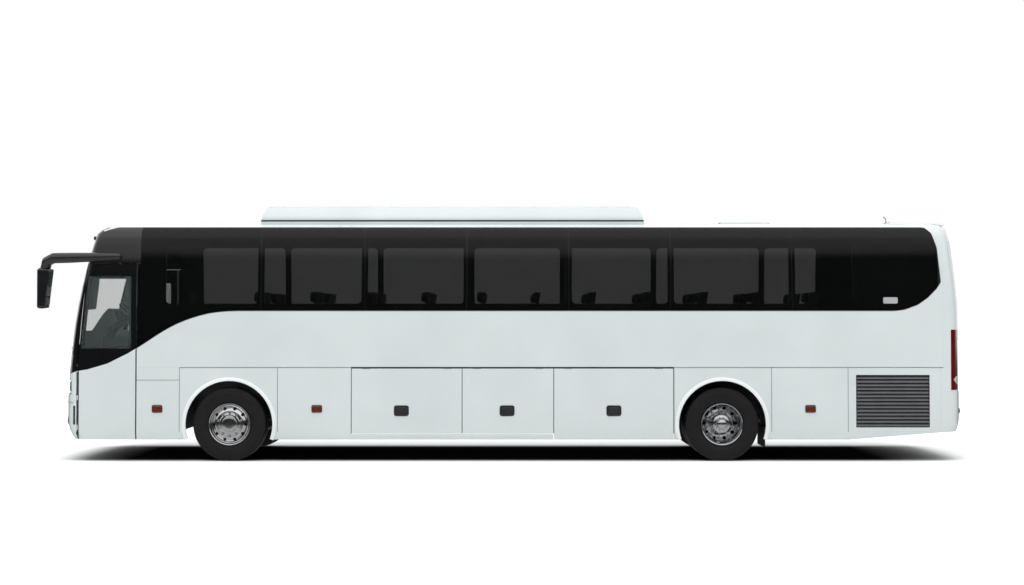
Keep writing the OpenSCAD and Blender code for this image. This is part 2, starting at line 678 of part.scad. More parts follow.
// ---- floors and running gear -----------------------------------------------------------
floor_half = half_w - wall - fit;
bay_half = floor_half - 4.6;    // the skirts turn in below low_edge_z
low_edge_z = sill_z + tuck_h + 3;
bay_floor_z = 420;
bay_from = luggage_from - 24;
bay_to = luggage_to + 12;
plate = 12;
floor_from = 300;
well_from = 285;
well_to = door_rear + 49;
entry_well = 250;               // how near the centre line the entry stairs reach
driver_well = 830;              // the same for the driver's steps
wheel_y = half_w - tyre_inset - tyre_w / 2;
rail_out = wheel_y - 568;       // outer and inner faces of the frame rails
rail_in = rail_out - 70;
rail_z0 = 780;
rail_z1 = 960;
stub_in = 150;                  // the front stubs run between the entry stairs and the driver's steps
stub_out = 220;
stub_z1 = 930;
stub_end = 1640;
module stairs(side, treads, y_in) {
    n = len(treads);
    y_out = floor_half - 30;
    step = (y_out - y_in) / n;
    end_prism([for (p = concat([[y_out, 345]],
        [for (i = [0:n - 1], e = [0, 1]) [y_out - (i + e) * step, treads[i]]],
        [[y_in, 345]])) [side * p[0], p[1]]], front_x + well_from + 5, front_x + door_rear - 11);
}
module floor() color("#4a4d52") {
    difference() {
        union() {
            block(floor_from, body_len - 260, -floor_half, floor_half, deck_z - deck_t, deck_z);
            block(bay_from, bay_to, -bay_half, bay_half, bay_floor_z - 30, bay_floor_z);
            for (d = [bay_from, bay_to - plate]) {
                block(d, d + plate, -bay_half, bay_half, bay_floor_z - 30, low_edge_z);
                block(d, d + plate, -floor_half, floor_half, low_edge_z, deck_z);
            }
            block(well_from - 5, well_to, -driver_well - 70, entry_well + 70, 340, 340 + plate);
        }
        block(well_from, well_to, entry_well, big, deck_z - 400, deck_z + 10);
        block(well_from, door_rear, -big, -driver_well, deck_z - 400, deck_z + 10);
    }
    stairs(1, [400, 620, 840, 1060], entry_well);
    stairs(-1, [420, 720, 1020], driver_well);
    difference() {
        block(well_to - plate, well_to, -driver_well, entry_well, 352, deck_z - deck_t);
        for (side = [-1, 1]) scale([1, side, 1])
            block(well_to - 2 * plate, well_to + plate, stub_in - fit, stub_out + fit,
                rail_z0 - fit, stub_z1 + fit);
    }
}
house_half = 650;
house_in = rail_out + 50;
house_top = 1215;
house_low = 720;                // lower edge of the housings' inner walls
module wheel_housings() color("#2c2f33") for (x = [front_overhang, front_overhang + wheelbase])
    on_both_sides() {
        for (d = [x - house_half - plate, x + house_half])
            block(d, d + plate, house_in, floor_half, low_edge_z, house_top);
        block(x - house_half - plate, x + house_half + plate, house_in, floor_half,
            house_top, house_top + plate);
        block(x - house_half - plate, x + house_half + plate, house_in, house_in + plate,
            house_low, house_top + 1);
    }
flap_t = 12;
flap_lip = 30;                  // height of the lip that holds a mudflap to its housing
module mudflap(axle, d, y, low) {
    block(axle + d - flap_t, axle + d, y, floor_half - 8, low, low_edge_z);
    block(axle + d - flap_t, axle + house_half - fit, y, floor_half - 8,
        low_edge_z - 1, low_edge_z + flap_lip);
}
module mudflaps() color("#1b1c1e") on_both_sides() {
    mudflap(front_overhang, arch_r - 10, wheel_y - 138, 250);
    mudflap(front_overhang + wheelbase, arch_r, wheel_y - 468, 195);
}

engine_from = body_len - 2000;
engine_to = body_len - 600;
member_w = 70;
member_in = 40;                 // how far the crossmembers lie inside the rails' height
member_at = [200, stub_end, front_overhang + 740, luggage_from - 254, luggage_to + 170,
    engine_from - 550, body_len - 300];
outrigger_at = [-450, 400];     // from each axle
jack_at = [front_overhang + 1080, engine_from - 200];
jack_pad = [120, 14];           // length and thickness
tow_z = 520;
tow_y = rail_in - 40;
tow_r = 20;
tow_outer_r = 34;
tow_from = 25;
module tow_tube(d, h) difference() {
    along(d, tow_y, tow_z, tow_outer_r, h);
    along(d - 1, tow_y, tow_z, tow_r, h + 2);
}
module chassis_frame() color("#26292d") {
    on_both_sides() {
        block(member_at[0] + member_w + fit, stub_end - fit, stub_in, stub_out, rail_z0, stub_z1);
        block(stub_end, bay_from - fit, rail_in, rail_out, rail_z0, rail_z1);
        block(bay_to + fit, body_len - wall - 2.4, rail_in, rail_out, rail_z0, rail_z1);
        for (axle = [front_overhang, front_overhang + wheelbase], d = outrigger_at)
            block(axle + d, axle + d + 50, rail_out + fit, house_in - fit,
                rail_z0 + member_in, rail_z1 - member_in);
        for (d = jack_at)
            block(d, d + jack_pad[0], rail_in, rail_out, rail_z0 - jack_pad[1], rail_z0 - fit);
    }
    for (d = member_at)
        block(d, d + member_w, fit - rail_in, rail_in - fit, rail_z0 + member_in, rail_z1 - member_in);
    for (d = [member_at[0], body_len - 300])
        block(d, d + member_w, tow_y - 39, tow_y + 39, tow_z - 40, rail_z0 + member_in - fit);
    tow_tube(tow_from, member_at[0] - tow_from - fit);
    tow_tube(body_len - 300 + member_w + fit, 189);
}

kingpin_y = wheel_y - kingpin_offset;
kingpin_r = 26;
beam_half = 55;                 // half height of the axle beam's ends
spindle_r = 42;
arm_back = 230;                 // steering arm's reach behind the kingpin
arm_low = hub_z - 96;
arm_t = 26;
ball_r = 12;
spring_y = (rail_in + rail_out) / 2;
beam_low = hub_z - 150;
module front_axle() color("#26292d") difference() {
    fa = front_overhang;
    union() {
        block(fa - 55, fa + 55, 150 - kingpin_y, kingpin_y - 150, beam_low, beam_low + 110);
        for (side = [-1, 1]) scale([1, side, 1]) {
            block(fa - 50, fa + 50, kingpin_y - 160, kingpin_y, beam_low, hub_z + beam_half - 15);
            upright(fa, kingpin_y, hub_z - beam_half, 62, 2 * beam_half);
            block(fa - 80, fa + 80, spring_y - 80, spring_y + 80, hub_z - 100, hub_z);
            upright(fa, spring_y, hub_z - 10, 80, rail_z0 - hub_z + 10 - fit);
        }
    }
    for (side = [-1, 1]) {
        upright(fa, side * kingpin_y, 0, kingpin_r + hinge_clear, 2 * hub_z);
        for (z = [hub_z - 250, hub_z + beam_half]) upright(fa, side * kingpin_y, z, 150, 195);
    }
}
lug_t = 32;
stub_axle_from = kingpin_y + 90;
stub_axle_to = wheel_y + 100;
module steering_knuckle(side) color("#30343a") {
    fa = front_overhang;
    for (z = [hub_z - beam_half - lug_t - 1, hub_z + beam_half + 1]) {
        upright(fa, side * kingpin_y, z, 58, lug_t);
        translate([front_axle_x - 50, side * (kingpin_y + 62) - 62, z]) cube([100, 124, lug_t]);
    }
    upright(fa, side * kingpin_y, hub_z - beam_half - 10, kingpin_r, 2 * beam_half + 20);
    translate([front_axle_x - 50, side * (kingpin_y + 98) - 28, hub_z - beam_half - lug_t])
        cube([100, 56, 2 * (beam_half + lug_t)]);
    across(front_axle_x, side * (stub_axle_from + stub_axle_to) / 2, hub_z, spindle_r,
        stub_axle_to - stub_axle_from);
    translate([front_axle_x, side * kingpin_y - 25, arm_low]) cube([arm_back, 50, arm_t]);
    upright(fa + arm_back, side * kingpin_y, arm_low, 30, arm_t);
    upright(fa + arm_back, side * kingpin_y, arm_low, ball_r, arm_t + 34);
}
module tie_rod() color("#30343a") difference() {
    union() {
        for (side = [-1, 1])
            upright(front_overhang + arm_back, side * kingpin_y, arm_low + arm_t + 0.5, 30, 32);
        across(front_axle_x + arm_back, 0, arm_low + arm_t + 17, 15, 2 * kingpin_y - 30);
    }
    for (side = [-1, 1])
        upright(front_overhang + arm_back, side * kingpin_y, arm_low, ball_r + 1, 100);
}
axle_r = 105;
diff_r = 210;
shaft_r = 55;
bellows_r = 75;
bellows_at = 390;               // from the axle, ahead and behind
module rear_axle() color("#26292d") {
    ra = front_overhang + wheelbase;
    across(rear_axle_x, 0, hub_z, axle_r, 2 * (wheel_y - twin_pitch - 160));
    across(rear_axle_x, 0, hub_z, spindle_r, 2 * (wheel_y + 60));
    across(rear_axle_x, 0, hub_z, diff_r, 300);
    along(ra + 100, 0, hub_z, shaft_r, engine_from - ra - 100 - fit);
    on_both_sides() {
        block(ra - 480, ra + 480, spring_y - 40, spring_y + 40, hub_z + 60, hub_z + 130);
        for (x = [-bellows_at, bellows_at])
            upright(ra + x, spring_y, hub_z + 120, bellows_r, rail_z0 - hub_z - 120 - fit);
    }
}
module engine_block() color("#5a5e63")
    block(engine_from, engine_to, fit - rail_in, rail_in - fit, 470, 1230);

// ---- wheels ----------------------------------------------------------------------------
tyre_ring = bead_d / 2 + fit;
module spin(y, side) translate([0, y, hub_z]) rotate([side > 0 ? -90 : 90, 0, 0]) children();
flange_h = 16;
side_h = tyre_d / 2 - tyre_ring;    // height of the tyre's side
// Points of a tyre's section from the flange to the tread: share of the side's height, share of
// the width.
tyre_side = [[0.25, 0.48], [0.51, 0.5], [0.7, 0.48], [0.907, 0.445], [0.983, 0.4], [1, 0.3]];
module tyre_profile() {
    half = concat([[tyre_ring, 0.4 * tyre_w], [tyre_ring + flange_h + 4, 0.4 * tyre_w]],
        [for (p = tyre_side) [tyre_ring + p[0] * side_h, p[1] * tyre_w]]);
    n = len(half);
    polygon(concat(half, [for (i = [n - 1:-1:0]) [half[i][0], -half[i][1]]]));
}
module tyre(x, y) color("#1a1b1d") translate([x, 0, 0]) spin(y, 1)
    rotate_extrude($fn = 96) tyre_profile();
module rear_tyres(side) for (y = [wheel_y, wheel_y - twin_pitch]) tyre(rear_axle_x, side * y);
barrel_t = 14;
disc_t = 18;
hub_r = 135;
cone_r = 190;
// A rim's section: its disc lies at "disc" across the width, and a cone joins it to the barrel at
// "join". The hub runs from hub_from to hub_to, with a cap over its end where cap is not 0.
module rim_profile(disc, join, hub_from, hub_to, cap) {
    r = bead_d / 2;
    w = tyre_w * 0.4;
    t = disc_t / 2;
    bore = spindle_r + hinge_clear;
    polygon(concat(
        [[r, -w - fit], [r + flange_h, -w - fit], [r + flange_h, -w - 14], [r - 4, -w - 14],
         [r - barrel_t, -w - 8], [r - barrel_t, join - t], [cone_r, disc - t]],
        hub_from < disc - t ? [[hub_r, disc - t], [hub_r, hub_from]] : [],
        [[bore, hub_from]],
        cap > 0 ? [[bore, hub_to - 12], [0, hub_to - 12], [0, cap], [hub_r * 0.55, cap],
            [hub_r * 0.8, cap - 14], [hub_r * 0.8, hub_to]] : [[bore, hub_to]],
        [[hub_r, hub_to], [hub_r, disc + t], [cone_r, disc + t], [r - barrel_t, join + t],
         [r - barrel_t, w + 8], [r - 4, w + 14], [r + flange_h, w + 14], [r + flange_h, w + fit],
         [r, w + fit]]));
}
front_disc = 128;
twin_disc = (disc_t - twin_pitch) / 2;
module front_rim(side) color("#c9cdd2") translate([front_axle_x, 0, 0]) spin(side * wheel_y, side)
    rotate_extrude($fn = 96) rim_profile(front_disc, tyre_w * 0.3, 30, front_disc + 14, 160);
module rear_rims(side) color("#c9cdd2") translate([rear_axle_x, 0, 0]) {
    spin(side * wheel_y, side)
        rotate_extrude($fn = 96) rim_profile(twin_disc, -tyre_w * 0.3, twin_disc - disc_t / 2, 80, 130);
    spin(side * (wheel_y - twin_pitch), -side)
        rotate_extrude($fn = 96) rim_profile(twin_disc, -tyre_w * 0.3, twin_disc - disc_t / 2, 20, 0);
}

// ---- inside ----------------------------------------------------------------------------
seat_w = 960;
seat_from = 2250;
seat_foot = deck_z + fit;
cushion_z = deck_z + 440;
cushion_low = cushion_z - 130;
seat_top = deck_z + 1100;
function seat_side() = [[0, seat_foot], [60, seat_foot], [70, cushion_low], [360, cushion_low],
    [400, seat_foot], [460, seat_foot], [440, cushion_z - 110], [600, seat_top - 90],
    [575, seat_top], [500, seat_top], [395, cushion_z + 10], [0, cushion_z],
    [-25, cushion_z - 60], [0, cushion_low], [10, cushion_low]];
module seat_pair(d, y0, w) translate([front_x + d, y0 + w, 0]) rotate([90, 0, 0])
    linear_extrude(w) polygon(seat_side());
module seats() color("#343a46") {
    for (row = [0:seat_rows - 1], side = [-1, 1])
        seat_pair(seat_from + row * seat_pitch,
            side > 0 ? floor_half - 60 - seat_w : 60 - floor_half, seat_w);
    seat_pair(1180, -980, 520);
}
steer = [880, -720, 2080];      // centre of the steering wheel: distance, y, height
dash_from = -1040;
dash_to = 1000;
column_r = 30;
column_len = 560;
module on_column() translate([front_x + steer[0], steer[1], steer[2]]) rotate([0, 45, 0]) children();
module dashboard() color("#2b2d30") difference() {
    union() {
        difference() {
            side_prism([[floor_from - fit, deck_z - 120], [floor_from - fit, deck_z + fit],
                [540, deck_z + fit], [560, 1760], [520, 1850], [290, 1850], [215, 1640],
                [200, deck_z - 120]], dash_from, dash_to);
            block(130, 730, 260, 2000, 0, 1500);
        }
        // The instrument hood stands round the steering column.
        side_prism([[380, 1840], [555, 1700], [640, 1900], [760, 1990], [700, 2150], [620, 2170],
            [540, 2080]], steer[1] - 280, steer[1] + 280);
    }
    on_column() translate([0, 0, -column_len - 20]) cylinder(r = column_r + 0.3, h = column_len, $fn = 32);
}
module steering_wheel() color("#1c1d1f") on_column() {
    rotate_extrude($fn = 48) translate([steering_d / 2 - 15, 0]) circle(r = 15, $fn = 16);
    cylinder(r = 60, h = 40, center = true, $fn = 32);
    for (a = [90, 210, 330]) rotate([0, 0, a]) translate([40, -16, -8]) cube([steering_d / 2 - 55, 32, 16]);
    translate([0, 0, -column_len]) cylinder(r = column_r, h = column_len - 10, $fn = 32);
}

roof();
side_wall(-1);  // side_wall_left
side_wall(1);  // side_wall_right
side_windows();
front_frame();
windscreen();
front_panel();
front_bumper();
headlamps();
rear_panel();
rear_window();
tail_lamps();
rear_bumper();
engine_door();
skirt(-1);  // skirt_left
skirt(1);  // skirt_right
front_door(-1, driver_pane_low);  // driver_door
door_glass(-1, driver_pane_low);  // driver_door_window
front_door(1, entry_pane_low);  // entry_door
door_glass(1, entry_pane_low);  // entry_door_window
luggage_door(-1, luggage[0]);  // luggage_door_left_1
luggage_door(-1, luggage[1]);  // luggage_door_left_2
luggage_door(-1, luggage[2]);  // luggage_door_left_3
luggage_door(1, luggage[0]);  // luggage_door_right_1
luggage_door(1, luggage[1]);  // luggage_door_right_2
luggage_door(1, luggage[2]);  // luggage_door_right_3
door_hinges();
side_grilles();
roof_air_conditioner();
roof_hatch();
mirrors();
floor();
wheel_housings();
mudflaps();
chassis_frame();
front_axle();
steering_knuckle(-1);  // steering_knuckle_left
steering_knuckle(1);  // steering_knuckle_right
tie_rod();
rear_axle();
engine_block();
tyre(front_axle_x, -wheel_y);  // front_tyre_left
tyre(front_axle_x, wheel_y);  // front_tyre_right
rear_tyres(-1);  // rear_tyres_left
rear_tyres(1);  // rear_tyres_right
front_rim(-1);  // front_rim_left
front_rim(1);  // front_rim_right
rear_rims(-1);  // rear_rims_left
rear_rims(1);  // rear_rims_right
seats();
dashboard();
steering_wheel();
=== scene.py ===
import json
import math
import bpy
from mathutils import Matrix, Vector

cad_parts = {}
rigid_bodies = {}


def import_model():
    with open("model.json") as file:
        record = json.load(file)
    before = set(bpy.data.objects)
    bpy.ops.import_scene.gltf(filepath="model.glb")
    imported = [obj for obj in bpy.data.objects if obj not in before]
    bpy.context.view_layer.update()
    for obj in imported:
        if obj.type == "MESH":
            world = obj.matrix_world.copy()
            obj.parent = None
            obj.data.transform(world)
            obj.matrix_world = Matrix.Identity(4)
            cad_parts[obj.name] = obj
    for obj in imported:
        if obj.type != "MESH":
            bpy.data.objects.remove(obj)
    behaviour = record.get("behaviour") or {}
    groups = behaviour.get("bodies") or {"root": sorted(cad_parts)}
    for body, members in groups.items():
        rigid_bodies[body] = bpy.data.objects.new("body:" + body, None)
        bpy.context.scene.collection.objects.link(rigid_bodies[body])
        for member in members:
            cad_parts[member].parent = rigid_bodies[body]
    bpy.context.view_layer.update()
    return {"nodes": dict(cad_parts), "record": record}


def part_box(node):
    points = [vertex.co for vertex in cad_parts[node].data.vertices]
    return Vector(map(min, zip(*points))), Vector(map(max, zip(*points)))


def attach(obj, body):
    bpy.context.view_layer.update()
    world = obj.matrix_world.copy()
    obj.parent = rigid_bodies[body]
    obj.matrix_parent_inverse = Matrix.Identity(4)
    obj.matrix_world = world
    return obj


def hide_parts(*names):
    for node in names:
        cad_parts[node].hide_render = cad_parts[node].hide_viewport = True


for leftover in list(bpy.data.objects):
    bpy.data.objects.remove(leftover)
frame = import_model()
nodes = frame["nodes"]
body_of_node = {n: b for b, ns in frame["record"]["behaviour"]["bodies"].items() for n in ns}
slot_of_node = {p["node"]: p["material_slot"] for p in frame["record"]["subparts"]}
SIDES = (("left", -1), ("right", 1))

# ---- sizes that the trim shares with the coach, in metres -------------------------------
FRONT_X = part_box("front_bumper")[0].x          # the front bumper's foremost point
REAR_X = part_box("rear_bumper")[1].x
HALF_W = 1.275
HUB_Z = (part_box("front_tyre_left")[0].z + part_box("front_tyre_left")[1].z) / 2
TYRE_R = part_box("front_tyre_left")[1].z - HUB_Z
AXLE_X = [(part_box(n)[0].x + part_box(n)[1].x) / 2 for n in ("front_tyre_left", "rear_tyres_left")]
SHOULDER_Z, ROOF_Z = 1.95, 3.425
ARCH_R = 0.615
TUCK, TUCK_TOP, TUCK_H = 0.016, 0.437, 0.13      # how the sides draw in low down
LEAN, COVE = 0.07, 24                            # how they lean in and round off up to the roof
PROUD = 0.014                                    # both bumpers, past the panels above them
CHIN_Z, CHIN_H = 0.6, 0.293


def at(d):
    """x of a place d metres behind the front face."""
    return FRONT_X + d


def clamp01(v):
    return max(0.0, min(1.0, v))


def wall_half(z):
    """Half width of the body at height z."""
    if z < TUCK_TOP:
        return HALF_W - TUCK * ((TUCK_TOP - z) / TUCK_H) ** 2
    if z < SHOULDER_Z:
        return HALF_W
    s = (z - SHOULDER_Z) / (ROOF_Z - SHOULDER_Z)
    return HALF_W * (1 - LEAN * s * s) * max(0.0, 1 - s ** COVE) ** (1 / 3)


def quarter(s):
    return 1 - math.sqrt(max(0.0, 1 - s * s))


def set_back(z, chin, rake_z, rake, rake_top, power, dome):
    """How far an end's skin lies inside its bumper at height z: chin, upright part, rake, dome."""
    if z < CHIN_Z:
        return PROUD + chin * ((CHIN_Z - z) / CHIN_H) ** 2
    if z < rake_z:
        return PROUD
    return (PROUD + rake * ((min(z, rake_top) - rake_z) / (rake_top - rake_z)) ** power
            + dome * quarter(clamp01((z - rake_top) / (ROOF_Z - rake_top))))


def front_set(z):
    return set_back(z, 0.095, 0.9, 0.393, 3.21, 1.8, 0.75)


def rear_set(z):
    return set_back(z, 0.12, 2.1, 0.129, 3.267, 1.4, 0.2)


def front_corner(z):
    return 0.251 - 0.086 * clamp01((z - 1.0) / 1.8)


def front_skin(y, z, proud=0.0):
    """The point of the front face at y and z, moved forward by proud."""
    share = min(0.999, abs(y) / wall_half(z))
    angle = math.asin(share ** 2)
    return Vector((at(front_set(z) + front_corner(z) * (1 - math.cos(angle)) - proud), y, z))


def rear_skin(y, z, proud=0.0):
    share = min(0.999, abs(y) / wall_half(z))
    angle = math.asin(share ** 2.5)
    return Vector((REAR_X - rear_set(z) - 0.24 * (1 - math.cos(angle)) + proud, y, z))


def side_skin(side, d, z, proud=0.0):
    return Vector((at(d), side * (wall_half(z) + proud), z))


# ---- modelling helpers ------------------------------------------------------------------
def deselect():
    if bpy.context.object and bpy.context.object.mode != "OBJECT":
        bpy.ops.object.mode_set(mode="OBJECT")
    bpy.ops.object.select_all(action="DESELECT")


def take(piece):
    """Makes one piece the only one selected."""
    deselect()
    piece.select_set(True)
    bpy.context.view_layer.objects.active = piece
    return piece


def started(name):
    """The primitive just added, under its name."""
    piece = bpy.context.object
    piece.name = piece.data.name = name
    return piece


def edit(piece, kind="VERT"):
    take(piece)
    bpy.ops.object.mode_set(mode="EDIT")
    bpy.ops.mesh.select_mode(type=kind)
    bpy.ops.mesh.select_all(action="SELECT")


def done(piece, smooth=30.0):
    """Leaves edit mode, puts the piece's place into its mesh and smooths the blunt edges."""
    take(piece)
    set_in_place()
    if smooth:
        bpy.ops.object.shade_smooth_by_angle(angle=math.radians(smooth))
    return piece


def pick(piece, kind, test):
    """Selects, in edit mode, the vertices, edges or faces that pass a test."""
    bpy.ops.mesh.select_mode(type=kind)
    bpy.ops.mesh.select_all(action="DESELECT")
    bpy.ops.object.mode_set(mode="OBJECT")
    mesh = piece.data
    for item in {"VERT": mesh.vertices, "EDGE": mesh.edges, "FACE": mesh.polygons}[kind]:
        item.select = test(item)
    bpy.ops.object.mode_set(mode="EDIT")


def set_in_place():
    bpy.ops.object.transform_apply(location=True, rotation=True, scale=True)


def whole():
    bpy.ops.mesh.select_all(action="SELECT")


def outwards():
    whole()
    bpy.ops.mesh.normals_make_consistent(inside=False)


def spun(steps, angle, centre, axis):
    """Spins the drawn line round an axis, merges what doubles and turns the faces outwards."""
    whole()
    bpy.ops.mesh.spin(steps=steps, angle=angle, center=centre, axis=axis)
    whole()
    bpy.ops.mesh.remove_doubles(threshold=0.00002)
    bpy.ops.mesh.delete_loose()
    outwards()


def slab(name, low, high, soften=0.003, steps=2):
    """A block between two corners with softened edges."""
    deselect()
    low, high = Vector(low), Vector(high)
    bpy.ops.mesh.primitive_cube_add(size=1, location=(low + high) / 2, scale=high - low)
    piece = started(name)
    set_in_place()
    if soften:
        edit(piece, "EDGE")
        bpy.ops.mesh.bevel(offset=min(soften, 0.45 * min(high - low)), segments=steps, affect="EDGES")
    return done(piece)


def drawn(name, points, closed=False):
    """A line drawn through points: one vertex, drawn out point by point. Left in edit mode."""
    deselect()
    bpy.ops.mesh.primitive_plane_add(size=0.01, location=points[0])
    piece = started(name)
    set_in_place()
    edit(piece)
    bpy.ops.mesh.merge(type="CENTER")
    for here, there in zip(points, points[1:]):
        bpy.ops.mesh.extrude_region_move(TRANSFORM_OT_translate={"value": Vector(there) - Vector(here)})
    if closed:
        whole()
        bpy.ops.mesh.edge_face_add()
    return piece


def sheet_of(name, points, along, soften=0.0, smooth=30.0):
    """A flat outline drawn and pulled out along a direction into a solid."""
    piece = drawn(name, points, closed=True)
    whole()
    bpy.ops.mesh.extrude_region_move(TRANSFORM_OT_translate={"value": along})
    outwards()
    if soften:
        pick(piece, "EDGE", lambda e: True)
        bpy.ops.mesh.bevel(offset=soften, segments=2, affect="EDGES", clamp_overlap=True)
    return done(piece, smooth)


def turned(name, profile, centre=(0, 0, 0), steps=96, axis="Y", smooth=35.0):
    """A closed profile of (radius, distance along the axis), spun once round the axis."""
    centre = Vector(centre)
    across, direction = {"Y": ((1, 0, 0), (0, 1, 0)), "X": ((0, 0, 1), (1, 0, 0)), "Z": ((1, 0, 0), (0, 0, 1))}[axis]
    points = [centre + Vector(across) * r + Vector(direction) * a for r, a in profile]
    piece = drawn(name, points + points[:1])
    spun(steps, 2 * math.pi, centre, direction)
    return done(piece, smooth)


def tube(name, points, radius):
    """A round bar along points."""
    curve = bpy.data.curves.new(name, "CURVE")
    curve.dimensions = "3D"
    curve.bevel_depth = radius
    curve.bevel_resolution = 2
    curve.use_fill_caps = True
    line = curve.splines.new("POLY")
    line.points.add(len(points) - 1)
    for p, q in zip(line.points, points):
        p.co = (*q, 1)
    piece = bpy.data.objects.new(name, curve)
    bpy.context.scene.collection.objects.link(piece)
    take(piece)
    bpy.ops.object.convert(target="MESH")
    return done(bpy.context.object, 60.0)


def changed(piece, kind, **settings):
    """Adds a modifier and applies it."""
    take(piece)
    modifier = piece.modifiers.new(kind.lower(), kind)
    for key, value in settings.items():
        setattr(modifier, key, value)
    bpy.ops.object.modifier_apply(modifier=modifier.name)
    return piece


def cut(piece, cutter):
    changed(piece, "BOOLEAN", operation="DIFFERENCE", object=cutter, solver="EXACT")
    bpy.data.objects.remove(cutter)
    return piece


def again(piece, name, matrix):
    """A copy with its own mesh, moved by a matrix."""
    other = piece.copy()
    other.data = piece.data.copy()
    other.name = other.data.name = name
    bpy.context.scene.collection.objects.link(other)
    other.data.transform(matrix)
    if matrix.determinant() < 0:
        other.data.flip_normals()
    return other


def joined(name, pieces):
    take(pieces[0])
    for piece in pieces:
        piece.select_set(True)
    bpy.ops.object.join()
    piece = bpy.context.object
    piece.name = piece.data.name = name
    return piece


def dressed(piece, finish):
    """Gives a piece its one finish."""
    piece.data.materials.clear()
    piece.data.materials.append(finish)
    for polygon in piece.data.polygons:
        polygon.material_index = 0


def fit(name, parts, finish, *replaced, body="coach_body", slot=None):
    """Joins parts under one name, gives them their finish and body and hides the nodes that they stand for. The slot is
    not used.
    """
    piece = joined(name, parts) if isinstance(parts, list) else parts
    piece.name = piece.data.name = name
    dressed(piece, finish)
    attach(piece, body)
    if replaced:
        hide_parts(*replaced)
    return piece


def mirror(side):
    """Turns what is modelled for the right-hand side over to a side."""
    return Matrix.Scale(side, 4, (0, 1, 0))


# ---- finishes ---------------------------------------------------------------------------
def feed(tree, slot, value):
    """Gives a socket a link, a colour or a number."""
    if isinstance(value, Value):
        tree.links.new(value.socket, slot)
    elif hasattr(value, "__len__") and len(value) == 3 and slot.type == "RGBA":
        slot.default_value = (*value, 1)
    else:
        slot.default_value = value


def node_of(tree, kind, settings=(), inputs=(), stops=(), out=0):
    """A node: its settings or a ramp's stops first, then its sockets' values or links."""
    node = tree.nodes.new("ShaderNode" + kind)
    for key, value in dict(settings).items():
        setattr(node, key, value)
    if stops:
        ramp = node.color_ramp
        while len(ramp.elements) < len(stops):
            ramp.elements.new(0.5)
        for element, (place, shade) in zip(ramp.elements, stops):
            element.position = place
            element.color = (shade, shade, shade, 1)
    for key, value in dict(inputs).items():
        feed(tree, node.inputs[key], value)
    return Value(tree, node.outputs[out])


class Value:
    """A number socket of a material, used in sums as any number is."""

    def __init__(self, tree, socket):
        self.tree, self.socket = tree, socket

    def math(self, operation, *others, swap=False):
        node = self.tree.nodes.new("ShaderNodeMath")
        node.operation = operation
        inputs = [self, *others]
        if swap:
            inputs.reverse()
        for slot, value in zip(node.inputs, inputs):
            feed(self.tree, slot, value)
        return Value(self.tree, node.outputs[0])

    def __add__(self, other): return self.math("ADD", other)
    def __radd__(self, other): return self.math("ADD", other, swap=True)
    def __sub__(self, other): return self.math("SUBTRACT", other)
    def __rsub__(self, other): return self.math("SUBTRACT", other, swap=True)
    def __mul__(self, other): return self.math("MULTIPLY", other)
    def __rmul__(self, other): return self.math("MULTIPLY", other, swap=True)
    def __truediv__(self, other): return self.math("DIVIDE", other)
    def __rtruediv__(self, other): return self.math("DIVIDE", other, swap=True)
    def __pow__(self, other): return self.math("POWER", other)
    def __abs__(self): return self.math("ABSOLUTE")
    def least(self, other): return self.math("MINIMUM", other)
    def most(self, other): return self.math("MAXIMUM", other)
    def above(self, edge, soft=0.0008):
        """0 below the edge, 1 above it, over a short ramp."""
        out = (self - edge) / soft + 0.5
        return out.most(0.0).least(1.0)


class Finish:
    """A material with one shader, whose uniform values sit on its own sockets."""

    def __init__(self, name, colour, rough, **uniform):
        self.material = bpy.data.materials.new(name)
        self.material.use_nodes = True
        self.tree = self.material.node_tree
        self.shader = next(n for n in self.tree.nodes if n.type == "BSDF_PRINCIPLED")
        self.set("Base Color", colour)
        self.set("Roughness", rough)
        for key, value in uniform.items():
            self.set(key.replace("_", " "), value)
        self.material.diffuse_color = (*colour, 1)

    def set(self, socket, value):
        feed(self.tree, self.shader.inputs[socket], value)

    def node(self, kind, settings=(), inputs=(), stops=(), out=0):
        return node_of(self.tree, kind, settings, inputs, stops, out)

    def place(self):
        """The point of the piece itself, as a vector and as its x, y and z."""
        point = self.node("TexCoord", out=3)
        return (point, *[self.node("SeparateXYZ", inputs={0: point}, out=i) for i in range(3)])

    def noise(self, scale, detail=2.0, vector=None):
        point = vector or self.node("TexCoord", out=3)
        return self.node("TexNoise", inputs={"Vector": point, "Scale": scale, "Detail": detail})

    def mix(self, share, one, two):
        """Colour one where share is 0, colour two where it is 1."""
        return self.node("Mix", {"data_type": "RGBA"}, {0: share, 6: one, 7: two}, out=2)

    def relief(self, height, strength=0.5, distance=0.001):
        self.set("Normal", self.node("Bump", inputs={"Height": height, "Strength": strength, "Distance": distance}))


WHITE = (0.6, 0.648, 0.65)
WHITE_LOW = (0.525, 0.567, 0.57)
BLACK = (0.0035, 0.0038, 0.0042)
INNER = (0.022, 0.023, 0.025)


def gloss_relief(f, point, rough):
    """Paint: a faint uneven gloss and a very fine ripple."""
    cloud = f.noise(1.3, 3.0, point)
    f.set("Roughness", rough + 0.1 * cloud)
    f.relief(f.noise(210.0, 2.0, point), 0.03, 0.0006)
    return cloud


def skin_mask(f, y, z):
    """1 on the outer skin of the body's sides, 0 in the recess behind the glass and inside."""
    s = ((z - SHOULDER_Z) / (ROOF_Z - SHOULDER_Z)).most(0.0)
    half = (1.0 - LEAN * s * s) * ((1.0 - (s ** COVE)).most(0.0) ** (1 / 3)) * HALF_W
    tuck = ((TUCK_TOP - z) / TUCK_H).most(0.0)
    return (abs(y) - half + TUCK * tuck * tuck + 0.0048).above(0.0, 0.0004)


